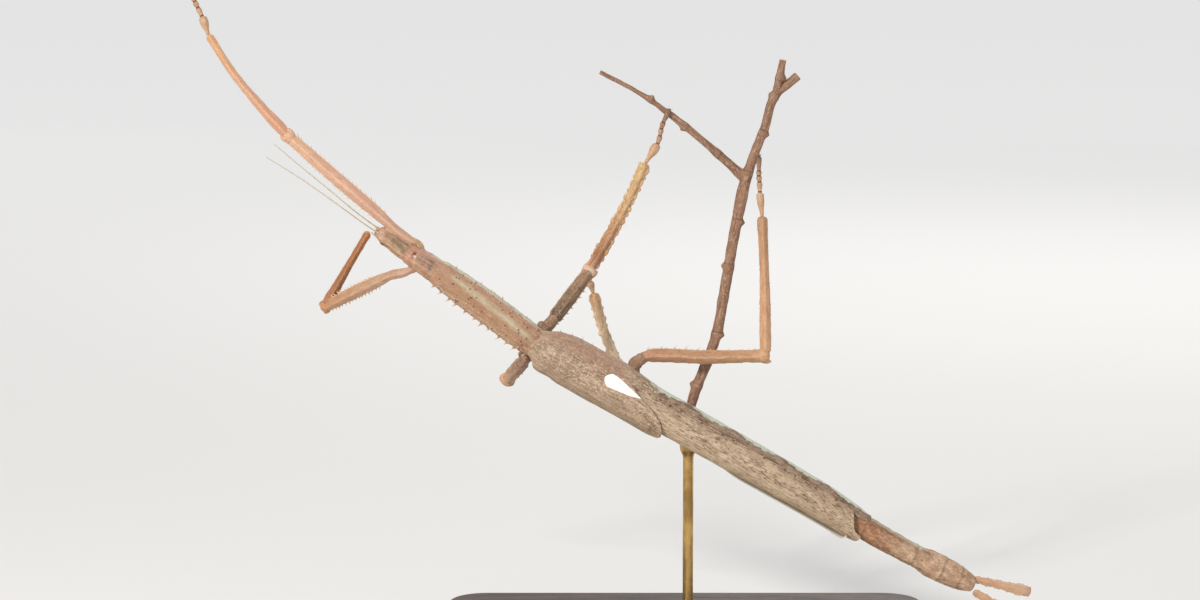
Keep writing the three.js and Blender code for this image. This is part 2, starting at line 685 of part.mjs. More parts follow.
// Half widths along the foot: five segments, each wider at its far end.
function footWidths(joints) {
  const lengths = [];
  for (let k = 1; k < joints.length; k++) {
    lengths.push(new THREE.Vector3(...joints[k]).distanceTo(new THREE.Vector3(...joints[k - 1])));
  }
  const total = lengths.reduce((sum, length) => sum + length, 0);
  const pairs = [[0, FOOT_HALF_WIDTH * 0.9]];
  let reached = 0;
  lengths.forEach((length, k) => {
    const scale = k === 0 ? 1.45 : 1;
    pairs.push([(reached + length * 0.25) / total, FOOT_HALF_WIDTH * scale * 0.7]);
    reached += length;
    pairs.push([reached / total - 0.01, FOOT_HALF_WIDTH * scale]);
  });
  return pairs;
}

// Two claws spread beyond the last foot segment, turned a little towards the bark.
function clawSolids(joints) {
  const [before, tip] = joints.slice(-2).map((p) => new THREE.Vector3(...p));
  const along = tip.clone().sub(before).normalize();
  const across = new THREE.Vector3().crossVectors(along, new THREE.Vector3(0, 1, 0)).normalize();
  const deep = new THREE.Vector3().crossVectors(across, along).normalize();
  return [-1, 1].map((side) => {
    const root = tip.clone().addScaledVector(along, -0.2).addScaledVector(across, side * 0.2);
    const reach = along.clone().addScaledVector(across, side * 0.6).addScaledVector(deep, 0.15);
    return spineSolid(root, reach, CLAW_LENGTH);
  });
}

// The head, the eyes and the thorax grown by the gap, to cut the legs clear of them.
function bodyCutters() {
  const grown = [skull, prothorax, mesothorax, metathorax].map((piece) =>
    solidOf(bodyLength({ ...piece, from: piece.from - GAP, to: piece.to + GAP, margin: GAP })),
  );
  return [...grown, eyeSolid(-1, EYE_RADIUS + GAP), eyeSolid(1, EYE_RADIUS + GAP)];
}

function buildLeg(name, leg, cutters) {
  const isFore = name.startsWith("fore");
  const scaled = (pairs) => pairs.map(([at, half]) => [at, half * (leg.thick ?? 1)]);
  const knee = leg.femur[leg.femur.length - 1];
  const coxa = { points: leg.coxa, width: isFore ? COXA_WIDTH : HIP_WIDTH, flatness: 0.9, rings: 3, sides: 7 };
  const femur = {
    points: leg.femur,
    width: scaled(isFore ? LONG_FEMUR_WIDTH : FEMUR_WIDTH),
    rings: isFore ? 9 : 5,
    sides: 8,
  };
  const tibia = { points: [knee, ...leg.tibia], width: scaled(TIBIA_WIDTH), rings: 5, sides: 7 };
  const joints = [leg.tibia[leg.tibia.length - 1], ...leg.foot];
  const foot = { points: joints, width: footWidths(joints), flatness: 0.85, rings: 10, sides: 5 };
  const grown = (shape) => solidOf(limb({ ...shape, margin: GAP }));
  const femurSpines = leg.spines.flatMap((row) => edgeSpines({ ...femur, ...row }));
  place(`${name}_coxa`, geometryOf(cut(solidOf(limb(coxa)), cutters)), "body");
  place(
    `${name}_femur`,
    geometryOf(cut(join([solidOf(limb(femur)), ...femurSpines]), [grown(coxa), ...cutters])),
    "leg",
  );
  place(`${name}_tibia`, geometryOf(cut(solidOf(limb(tibia)), [grown(femur), ...femurSpines])), "leg");
  place(
    `${name}_tarsus`,
    geometryOf(cut(join([solidOf(limb(foot)), ...clawSolids(joints)]), [grown(tibia)])),
    "leg",
  );
}

// ---- Perch and stand ----

function branchShape(points, width, rings, sides = 8) {
  return { points, width, flatness: 1, rings, sides };
}

function buildPerch() {
  const branch = branchShape(BRANCH, BRANCH_RADIUS, 13);
  const fork = branchShape(FORK, [[0, 1.2], [1, 1.05]], 2);
  const twig = branchShape(TWIG, TWIG_RADIUS, 9, 7);
  place("perch_branch", geometryOf(join([solidOf(limb(branch)), solidOf(limb(fork))])), "bark", 0.9);
  const grownBranch = solidOf(limb({ ...branch, margin: GAP }));
  place("perch_twig", geometryOf(cut(solidOf(limb(twig)), [grownBranch])), "bark", 0.9);
}

function buildStand() {
  const { length, depth, height, corner, chamfer } = BASE;
  const x = length / 2 - chamfer;
  const y = depth / 2 - chamfer;
  const r = corner - chamfer;
  const outline = new THREE.Shape();
  outline.moveTo(-x + r, -y);
  outline.lineTo(x - r, -y);
  outline.absarc(x - r, -y + r, r, -Math.PI / 2, 0);
  outline.lineTo(x, y - r);
  outline.absarc(x - r, y - r, r, 0, Math.PI / 2);
  outline.lineTo(-x + r, y);
  outline.absarc(-x + r, y - r, r, Math.PI / 2, Math.PI);
  outline.lineTo(-x, -y + r);
  outline.absarc(-x + r, -y + r, r, Math.PI, 1.5 * Math.PI);
  const plate = new THREE.ExtrudeGeometry(outline, {
    depth: height - 2 * chamfer,
    bevelThickness: chamfer,
    bevelSize: chamfer,
    bevelSegments: 1,
    curveSegments: 3,
  });
  plate.translate(0, 0, chamfer);
  place("stand_base", plate, "base", 0.35);

  const FOOT = { radius: 5, height: 2.2 };
  const bottom = height + GAP;
  const outlineOfRod = [
    [0, bottom],
    [FOOT.radius, bottom],
    [FOOT.radius, bottom + FOOT.height * 0.6],
    [FOOT.radius * 0.5, bottom + FOOT.height],
    [ROD_RADIUS, bottom + FOOT.height * 1.6],
    [ROD_RADIUS, CUP.floor - 3],
    [CUP.outer, CUP.floor - 1],
    [CUP.outer, CUP.rim],
    [CUP.inner, CUP.rim],
    [CUP.inner, CUP.floor],
    [0, CUP.floor],
  ].map(([radius, up]) => new THREE.Vector2(radius, up));
  const rod = new THREE.LatheGeometry(outlineOfRod, 10);
  rod.rotateX(Math.PI / 2);
  place("stand_rod", rod, "rod", 0.3, 0.9);
}

buildHead();
buildThorax();
buildAbdomen();
buildOperculum();
buildCerci();
buildTegmina();
buildHindWings();
const cutters = bodyCutters();
for (const [name, leg] of Object.entries(LEGS)) buildLeg(name, leg, cutters);
buildPerch();
buildStand();

export default insect;
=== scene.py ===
"""A winged stick insect hanging from a forked twig, dressed as a life-size display model.

Shapes are worked out in millimetres, in the part's frame: +Z up, +X towards the tail, -Y the side the back is
turned to. Each surface is a grid of points given by formulas, and goes into its mesh in metres.
"""
import logging
import math
from collections.abc import Callable
from dataclasses import dataclass, field
from enum import Enum

import bpy
import numpy as np
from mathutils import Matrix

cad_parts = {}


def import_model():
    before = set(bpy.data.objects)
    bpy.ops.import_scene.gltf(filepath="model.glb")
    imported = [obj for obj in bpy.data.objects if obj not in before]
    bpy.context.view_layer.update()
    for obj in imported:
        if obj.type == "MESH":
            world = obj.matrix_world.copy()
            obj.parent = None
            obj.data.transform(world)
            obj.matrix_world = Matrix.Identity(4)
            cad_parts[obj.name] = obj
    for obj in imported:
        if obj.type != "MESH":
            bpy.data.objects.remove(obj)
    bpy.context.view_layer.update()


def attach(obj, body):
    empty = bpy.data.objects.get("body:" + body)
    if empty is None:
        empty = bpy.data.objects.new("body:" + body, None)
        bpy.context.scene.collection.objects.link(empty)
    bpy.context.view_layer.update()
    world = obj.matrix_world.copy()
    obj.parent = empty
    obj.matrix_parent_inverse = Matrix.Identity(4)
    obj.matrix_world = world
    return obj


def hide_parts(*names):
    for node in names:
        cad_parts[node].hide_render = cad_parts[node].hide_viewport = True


log = logging.getLogger("stick_insect")

Array = np.ndarray
Colour = tuple[float, float, float]
Point = tuple[float, float, float]
Points = tuple[Point, ...]
Pairs = tuple[tuple[float, float], ...]
Table = tuple[tuple[float, ...], ...]
Frame = tuple[Array, Array, Array, Array]
Socket = bpy.types.NodeSocket
Material = bpy.types.Material
MM = 0.001
QUARTER = math.pi / 2
FAR = np.array([0.0, 1.0, 0.0])  # straight away from the viewer


# ---- Numbers, colours and curves ----


def paint(red: int, green: int, blue: int) -> Colour:
    """A colour of 0 to 255 steps on a screen, as light."""
    steps = np.array([red, green, blue]) / 255
    return tuple(np.where(steps <= 0.04045, steps / 12.92, ((steps + 0.055) / 1.055) ** 2.4).tolist())


def unit(vectors: Array) -> Array:
    """The same directions at length one."""
    return vectors / np.linalg.norm(vectors, axis=-1, keepdims=True)


def turns(count: int) -> Array:
    """Angles spread evenly round a circle, in radians."""
    return np.linspace(0, 2 * math.pi, count, endpoint=False)


def together(*parts: Array | float) -> Array:
    """Values side by side in a new last axis, each spread to one shape first."""
    return np.stack(np.broadcast_arrays(*parts), -1)


def step(value: Array, low: float, high: float) -> Array:
    """Goes smoothly from 0 at low to 1 at high."""
    t = np.clip((value - low) / (high - low), 0, 1)
    return t * t * (3 - 2 * t)


def hump(value: Array, middle: float, half: float) -> Array:
    """A bell of height 1 round the middle."""
    return np.exp(-(((value - middle) / half) ** 2))


def window(value: Array, low: float, high: float, soft: float) -> Array:
    """1 between low and high, and 0 outside, with soft edges."""
    return step(value, low - soft, low + soft) * (1 - step(value, high - soft, high + soft))


def rounded(share: Array, least: float = 0.01) -> Array:
    """Rises from near 0 to 1 along a quarter of a circle, while a share goes from 0 to 1."""
    return np.sqrt(np.clip(1 - (1 - share) ** 2, least, 1))


def layered(base: Colour, *coats: tuple[Colour, Array]) -> Array:
    """Coats over a base colour. Each is a colour and how far it moves those below towards its own, 0 to 1."""
    tone = np.asarray(base)
    for colour, amount in coats:
        tone = tone + (np.asarray(colour) - tone) * np.asarray(amount)[..., None]
    return tone


def swell(points: Array, size: float, seed: int, waves: int = 24) -> Array:
    """An irregular swell of about -1 to 1: the sum of sines that run in random directions.

    Args:
        points: Places, in mm, in the last axis.
        size: Rough distance between crests, in mm.
        seed: Seed of the random directions.
        waves: How many sines are summed.

    Returns:
        One value for each point.
    """
    rng = np.random.default_rng(seed)
    ways = unit(rng.normal(size=(waves, 3))) * (2 * math.pi / size) * rng.uniform(0.6, 1.6, (waves, 1))
    phases = rng.uniform(0, 2 * math.pi, waves)
    return np.sin(points @ ways.T + phases).sum(-1) / math.sqrt(waves)


@dataclass(frozen=True)
class Profile:
    """A smooth value between a few (place, value) pairs, level beyond the first and the last."""

    pairs: Pairs

    def __call__(self, at: Array | float) -> Array:
        """Cubic pieces. The slope at a pair is its neighbours' harmonic mean, so that nothing overshoots."""
        x, y = np.array(self.pairs, float).T
        rise = np.diff(y) / np.diff(x)
        before, after = np.append(rise[:1], rise), np.append(rise, rise[-1:])
        same = before * after > 0
        slope = np.where(same, 2 * before * after / np.where(same, before + after, 1), 0)
        at = np.clip(at, x[0], x[-1])
        k = np.clip(np.searchsorted(x, at, side="right") - 1, 0, len(x) - 2)
        h = x[k + 1] - x[k]
        t = (at - x[k]) / h
        ends = y[k] * (1 + 2 * t) * (1 - t) ** 2 + y[k + 1] * t * t * (3 - 2 * t)
        return ends + h * (slope[k] * t * (1 - t) ** 2 + slope[k + 1] * t * t * (t - 1))

    def moved(self, by: float) -> "Profile":
        """The same profile with something added to its values."""
        return Profile(tuple((at, value + by) for at, value in self.pairs))


def profile(*numbers: float) -> Profile:
    """A profile from its places and values in turn."""
    return Profile(tuple(zip(numbers[::2], numbers[1::2])))


@dataclass(frozen=True)
class Gradient:
    """Colours along a piece, from a few places with their steps of red, green and blue."""

    stops: Table

    def __call__(self, at: Array) -> Array:
        """Straight lines between the stops, in each of red, green and blue."""
        places = [place for place, *_ in self.stops]
        colours = np.array([paint(*steps) for _, *steps in self.stops])
        return np.stack([np.interp(at, places, channel) for channel in colours.T], -1)


def shades(*stops: tuple[float, ...]) -> Gradient:
    """A gradient from its stops."""
    return Gradient(stops)


class Path:
    """A smooth line through points, measured in mm from its start: a centripetal Catmull-Rom curve."""

    SAMPLES = 300  # steps in each span

    def __init__(self, points: Points) -> None:
        """Samples the curve. Each span is a cubic whose end slopes come from the four points round it."""
        p = np.array(points, float)
        q = np.vstack([2 * p[0] - p[1], p, 2 * p[-1] - p[-2]])
        gap = np.sqrt(np.linalg.norm(np.diff(q, axis=0), axis=1))[:, None]
        a, b, c, d = q[:-3], q[1:-2], q[2:-1], q[3:]
        g0, g1, g2 = gap[:-2], gap[1:-1], gap[2:]
        start = ((b - a) / g0 - (c - a) / (g0 + g1) + (c - b) / g1) * g1
        end = ((c - b) / g1 - (d - b) / (g1 + g2) + (d - c) / g2) * g1
        t = np.linspace(0, 1, self.SAMPLES, endpoint=False)[None, :, None]
        cubic = b[:, None] + start[:, None] * t
        cubic = cubic + (-3 * b + 3 * c - 2 * start - end)[:, None] * t**2
        cubic = cubic + (2 * b - 2 * c + start + end)[:, None] * t**3
        self.line = np.vstack([cubic.reshape(-1, 3), p[-1]])
        self.places = np.concatenate([[0], np.cumsum(np.linalg.norm(np.diff(self.line, axis=0), axis=1))])
        self.slopes = unit(np.gradient(self.line, self.places, axis=0))
        self.length = float(self.places[-1])

    def at(self, places: Array) -> tuple[Array, Array]:
        """Points and directions along the line, which goes straight on beyond its ends."""
        places = np.asarray(places, float)
        inside = np.clip(places, 0, self.length)
        points = np.stack([np.interp(inside, self.places, self.line[:, i]) for i in range(3)], -1)
        ways = unit(np.stack([np.interp(inside, self.places, self.slopes[:, i]) for i in range(3)], -1))
        return points + ways * (places - inside)[..., None], ways

    def frame(self, places: Array) -> Frame:
        """Middle, direction along the line, across it in the view from the front, and across it in depth."""
        middle, along = self.at(places)
        across = unit(np.cross(along, FAR))
        return middle, along, across, np.cross(across, along)

    def rings(self, places: Array, x: Array, y: Array) -> Array:
        """Points across the line at each place: x along the width's direction and y along the depth's."""
        middle, _, across, deep = self.frame(places)
        return middle[:, None] + across[:, None] * x[..., None] + deep[:, None] * y[..., None]


# ---- Closed surfaces ----


@dataclass
class Shell:
    """Points in mm, faces as arrays of point numbers, and the marks that the finishes read at each point."""

    points: Array
    faces: list[Array]
    marks: dict[str, Array] = field(default_factory=dict)

    @staticmethod
    def tubes(rings: Array, marks: dict[str, Array | float]) -> "Shell":
        """Closed tubes, each through a stack of rings, with a fan of triangles over each end.

        Args:
            rings: Points, as (tubes, rings, points round a ring, 3), or without the first axis for one tube.
            marks: Values at the same points.

        Returns:
            All the tubes as one shell.
        """
        if rings.ndim == 3:
            rings = rings[None]
            marks = {name: np.asarray(mark)[None] for name, mark in marks.items()}
        many, rows, columns, _ = rings.shape
        size = rows * columns + 2
        r, ring = np.arange(rows - 1)[:, None], np.arange(columns)
        after = (ring + 1) % columns
        a, b = r * columns + ring, r * columns + after
        quads = np.stack([a, b, b + columns, a + columns], -1).reshape(-1, 4)
        last = (rows - 1) * columns
        start = np.stack([after, ring, np.full(columns, size - 2)], -1)
        end = np.stack([last + ring, last + after, np.full(columns, size - 1)], -1)
        offsets = (np.arange(many) * size)[:, None, None]

        def flat(values: Array) -> Array:
            """Grid values, then the mean of the first ring and of the last."""
            values = np.asarray(values, float)
            rest = values.shape[3:]
            values = np.broadcast_to(values, (many, rows, columns, *rest))
            poles = np.stack([values[:, 0].mean(1), values[:, -1].mean(1)], 1)
            return np.concatenate([values.reshape(many, -1, *rest), poles], 1).reshape(many * size, *rest)

        caps = np.vstack([start, end])
        faces = [(quads[None] + offsets).reshape(-1, 4), (caps[None] + offsets).reshape(-1, 3)]
        return Shell(flat(rings), faces, {name: flat(mark) for name, mark in marks.items()}).outwards()

    @staticmethod
    def wall(outer: Array, inner: Array, marks: dict[str, Array | float]) -> "Shell":
        """A thin closed wall between two grids of points, joined round their rim.

        Args:
            outer: Points of the outer side, as (rows, columns, 3).
            inner: Points of the inner side.
            marks: Values at the grid's points, the same for both sides.

        Returns:
            The closed wall.
        """
        rows, columns, _ = outer.shape
        size = rows * columns
        grid = np.arange(size).reshape(rows, columns)
        a = grid[:-1, :-1]
        front = np.stack([a, a + 1, a + columns + 1, a + columns], -1).reshape(-1, 4)
        rim = np.concatenate([grid[0, :-1], grid[:-1, -1], grid[-1, :0:-1], grid[:0:-1, 0]])
        after = np.roll(rim, -1)
        sides = np.stack([after, rim, rim + size, after + size], -1)
        points = np.concatenate([outer.reshape(-1, 3), inner.reshape(-1, 3)])
        doubled = {}
        for name, mark in marks.items():
            mark = np.asarray(mark, float)
            mark = np.broadcast_to(mark, (rows, columns, *mark.shape[2:])).reshape(size, *mark.shape[2:])
            doubled[name] = np.concatenate([mark, mark])
        return Shell(points, [np.vstack([front, front[:, ::-1] + size, sides])], doubled).outwards()

    @staticmethod
    def joined(shells: list["Shell"]) -> "Shell":
        """Several shells as one. A mark that one of them lacks is 0 there."""
        starts = np.cumsum([0] + [len(s.points) for s in shells])
        faces = [face + start for s, start in zip(shells, starts) for face in s.faces]
        shapes = {name: mark.shape[1:] for s in shells for name, mark in s.marks.items()}
        marks = {
            name: np.concatenate([s.marks.get(name, np.zeros((len(s.points), *shape))) for s in shells])
            for name, shape in shapes.items()
        }
        return Shell(np.concatenate([s.points for s in shells]), faces, marks)

    def outwards(self) -> "Shell":
        """Turns every face over if the shell encloses a negative volume."""
        volume = 0.0
        for face in self.faces:
            p = self.points[face]
            for k in range(1, face.shape[1] - 1):
                volume += float(np.einsum("ij,ij->", p[:, 0], np.cross(p[:, k], p[:, k + 1])))
        if volume < 0:
            self.faces = [face[:, ::-1] for face in self.faces]
        return self


def each(marks: dict[str, object], many: int) -> dict[str, Array]:
    """Marks with one value or colour for each tube, or for all, shaped to spread over the tubes' points."""
    shapes = {name: (3,) if name == "tone" else () for name in marks}
    return {name: np.broadcast_to(mark, (many, *shapes[name])).reshape(many, 1, 1, *shapes[name])
            for name, mark in marks.items()}


def ellipsoids(centres: Array, axes: Array, rows: int = 10, columns: int = 14, **marks: object) -> Shell:
    """Closed ellipsoids: each ring is a circle of latitude stretched along three axes.

    Args:
        centres: Middles, as (many, 3).
        axes: Three half axes of each as vectors, (many, 3, 3).
        rows: Rings from pole to pole.
        columns: Points round each ring.
        **marks: One value or colour for each ellipsoid, or for all.

    Returns:
        All of them as one shell.
    """
    up = np.linspace(-1, 1, rows + 2)[1:-1, None] * QUARTER
    turn = turns(columns)
    ball = together(np.cos(up) * np.cos(turn), np.cos(up) * np.sin(turn), np.sin(up))
    rings = centres[:, None, None] + np.einsum("rck,nkj->nrcj", ball, axes)
    return Shell.tubes(rings, {"grain": rings, **each(marks, len(centres))})


def thorns(feet: Array, ways: Array, leans: Array, heights: Array, radii: Array, sides: int = 7,
           rows: int = 5, **marks: object) -> Shell:
    """Curved thorns: circles that shrink towards the tip while their middle bends along the lean.

    Args:
        feet: Where each stands, as (many, 3).
        ways: Its direction.
        leans: The direction its tip bends to.
        heights: Its height in mm.
        radii: Its radius at the foot.
        sides: Points round each circle.
        rows: Circles from foot to tip.
        **marks: One value or colour for each thorn, or for all.

    Returns:
        All the thorns as one shell, with the mark "tip" rising from 0 to 1.
    """
    sink = 0.35  # how far each starts below its foot
    ways = unit(ways)
    side = unit(np.cross(ways, np.roll(ways, 1, axis=-1) + 0.1))
    other = np.cross(ways, side)
    t = np.linspace(0, 1, rows)
    rise = (-sink + (heights[:, None] + sink) * t)[..., None]
    lean = (heights[:, None] * 0.35 * t**2)[..., None]
    middle = feet[:, None] + ways[:, None] * rise + leans[:, None] * lean
    width = radii[:, None] * ((1 - t) ** 1.25 * 0.94 + 0.06)
    turn = turns(sides)
    circle = np.cos(turn)[:, None] * side[:, None, None] + np.sin(turn)[:, None] * other[:, None, None]
    rings = middle[:, :, None] + circle * width[:, :, None, None]
    return Shell.tubes(rings, {"grain": rings, "tip": t[None, :, None], **each(marks, len(feet))})


@dataclass(frozen=True)
class Limb:
    """A tapering limb with rounded ends and lengthwise keels, widest across the view from the front."""

    points: Points
    width: Profile  # half width, by place from 0 to 1
    flatness: float = 0.75
    keel: float = 0.0
    spacing: float = 0.5
    columns: int = 20
    blunt: float = 0.8  # length of each rounded end, in mm

    def path(self) -> Path:
        """The line through its points."""
        return Path(self.points)

    def frame(self, places: Array) -> Frame:
        """Middle, direction, width's direction and depth's direction, at places in mm."""
        return self.path().frame(places)

    def shell(self, tone: Gradient, relief: float = 0.04, shift: float = 0.0, **marks: float) -> Shell:
        """Rings across the path: an ellipse raised at its keels, shrunk like a ball's slices at both ends.

        Args:
            tone: Colours by place from 0 to 1.
            relief: Height of the uneven surface, in mm.
            shift: Added to the grain's first coordinate, so that limbs aren't alike.
            **marks: Values that are the same all over the limb.

        Returns:
            The limb as a closed shell, marked with its grain, tone and pale keels.
        """
        length = self.path().length
        ends = self.blunt * (1 - np.cos(np.linspace(0.18, QUARTER, 6)))
        body = np.linspace(self.blunt, length - self.blunt, max(4, round(length / self.spacing)))
        places = np.concatenate([ends[:-1], body, length - ends[-2::-1]])
        away = np.minimum(places, length - places)
        closing = rounded(np.minimum(away, self.blunt) / self.blunt)
        turn = turns(self.columns)
        ridge = np.abs(np.cos(turn)) ** 12 + 0.8 * np.abs(np.sin(turn)) ** 12
        size = (self.width(places / length) * closing)[:, None] * (1 - self.keel * (1 - ridge))
        x, y = size * np.cos(turn), size * np.sin(turn) * self.flatness
        grain = together(places[:, None] + shift, x, y)
        grow = 1 + relief * swell(grain * [0.6, 1.6, 1.6], 2.2, 5)
        rings = self.path().rings(places, x * grow, y * grow)
        edge = ridge * min(1.0, self.keel * 5)
        colour = tone(places / length)[:, None]
        return Shell.tubes(rings, {"grain": grain, "tone": colour, "edge": edge[None], **marks})


# ---- Shader nodes ----


class Graph:
    """Places and links the nodes of one tree."""

    def __init__(self, tree: bpy.types.NodeTree) -> None:
        """Starts with the tree's nodes cleared."""
        self.tree = tree
        tree.nodes.clear()

    @staticmethod
    def blank(name: str) -> tuple[Material, "Graph"]:
        """A new material, and its graph with nothing in it."""
        material = bpy.data.materials.new(name)
        material.use_nodes = True
        return material, Graph(material.node_tree)

    def add(self, kind: str, feeds: dict | None = None, **settings: object) -> bpy.types.Node:
        """A new node with its settings, its inputs set to values or linked to other nodes' outputs."""
        node = self.tree.nodes.new(kind)
        for name, value in settings.items():
            setattr(node, name, value)
        for name, value in (feeds or {}).items():
            self.feed(node.inputs[name], value)
        return node

    def feed(self, socket: Socket, value: object) -> None:
        """Links an output to the socket, or sets the socket to a number or a colour."""
        if isinstance(value, Socket):
            self.tree.links.new(value, socket)
        elif socket.type == "RGBA":
            socket.default_value = (*value, 1.0)
        else:
            socket.default_value = value

    def math(self, kind: str, first: object, second: object = 0.0) -> Socket:
        """One sum of two numbers."""
        return self.add("ShaderNodeMath", {0: first, 1: second}, operation=kind).outputs[0]

    def plus(self, first: object, second: object) -> Socket:
        """The first number and the second added."""
        return self.math("ADD", first, second)

    def minus(self, first: object, second: object) -> Socket:
        """The first number less the second."""
        return self.math("SUBTRACT", first, second)

    def times(self, first: object, *others: object) -> object:
        """The product of the numbers, taken from the left."""
        for other in others:
            first = self.math("MULTIPLY", first, other)
        return first

    def mix(self, amount: object, first: object, second: object, kind: str = "MIX") -> Socket:
        """Goes from the first colour to the second by an amount of 0 to 1."""
        feeds = {0: amount, 6: first, 7: second}
        return self.add("ShaderNodeMix", feeds, data_type="RGBA", blend_type=kind).outputs[2]

    def lay(self, under: object, over: object, *amounts: object) -> Socket:
        """Lays one colour over another, as thickly as the product of the amounts."""
        return self.mix(self.times(*amounts), under, over)

    def ramp(self, value: object, low: object, high: object, start: float = 0.0, end: float = 1.0) -> Socket:
        """Goes smoothly from start, at low, to end, at high."""
        feeds = {"Value": value, "From Min": low, "From Max": high, "To Min": start, "To Max": end}
        return self.add("ShaderNodeMapRange", feeds, interpolation_type="SMOOTHSTEP").outputs["Result"]

    def stretch(self, vector: object, scale: Point) -> Socket:
        """The vector times three factors."""
        return self.add("ShaderNodeVectorMath", {0: vector, 1: scale}, operation="MULTIPLY").outputs[0]

    def noise(self, vector: object, scale: object, detail: float = 3.0, rough: float = 0.55) -> Socket:
        """Soft noise of 0 to 1."""
        feeds = {"Vector": vector, "Scale": scale, "Detail": detail, "Roughness": rough}
        return self.add("ShaderNodeTexNoise", feeds).outputs[0]

    def cells(self, vector: object, scale: object, feature: str) -> Socket:
        """Distance to the nearest of scattered points, or to the border between two."""
        cells = self.add("ShaderNodeTexVoronoi", {"Vector": vector, "Scale": scale}, feature=feature)
        return cells.outputs["Distance"]

    def mark(self, name: str, output: str = "Fac") -> Socket:
        """A mark that the piece's mesh holds."""
        return self.add("ShaderNodeAttribute", attribute_name=name).outputs[output]

    def group(self, tree: bpy.types.NodeTree, grain: Socket, **feeds: object) -> Socket:
        """Places a shared effect on the grain and gives its only output."""
        named = {name.capitalize(): value for name, value in feeds.items()}
        return self.add("ShaderNodeGroup", {"Grain": grain, **named}, node_tree=tree).outputs[0]

    def surface(self, height: Socket, depth: float, strength: float, looks: dict[str, object]) -> None:
        """Ends the tree with a shader of the given looks under a bump, whose depth is in mm."""
        bump = self.add("ShaderNodeBump", {"Strength": strength, "Distance": depth * MM, "Height": height})
        shader = self.add("ShaderNodeBsdfPrincipled", {"Normal": bump.outputs[0], **looks})
        self.add("ShaderNodeOutputMaterial", {"Surface": shader.outputs[0]})


Given = dict[str, Socket]


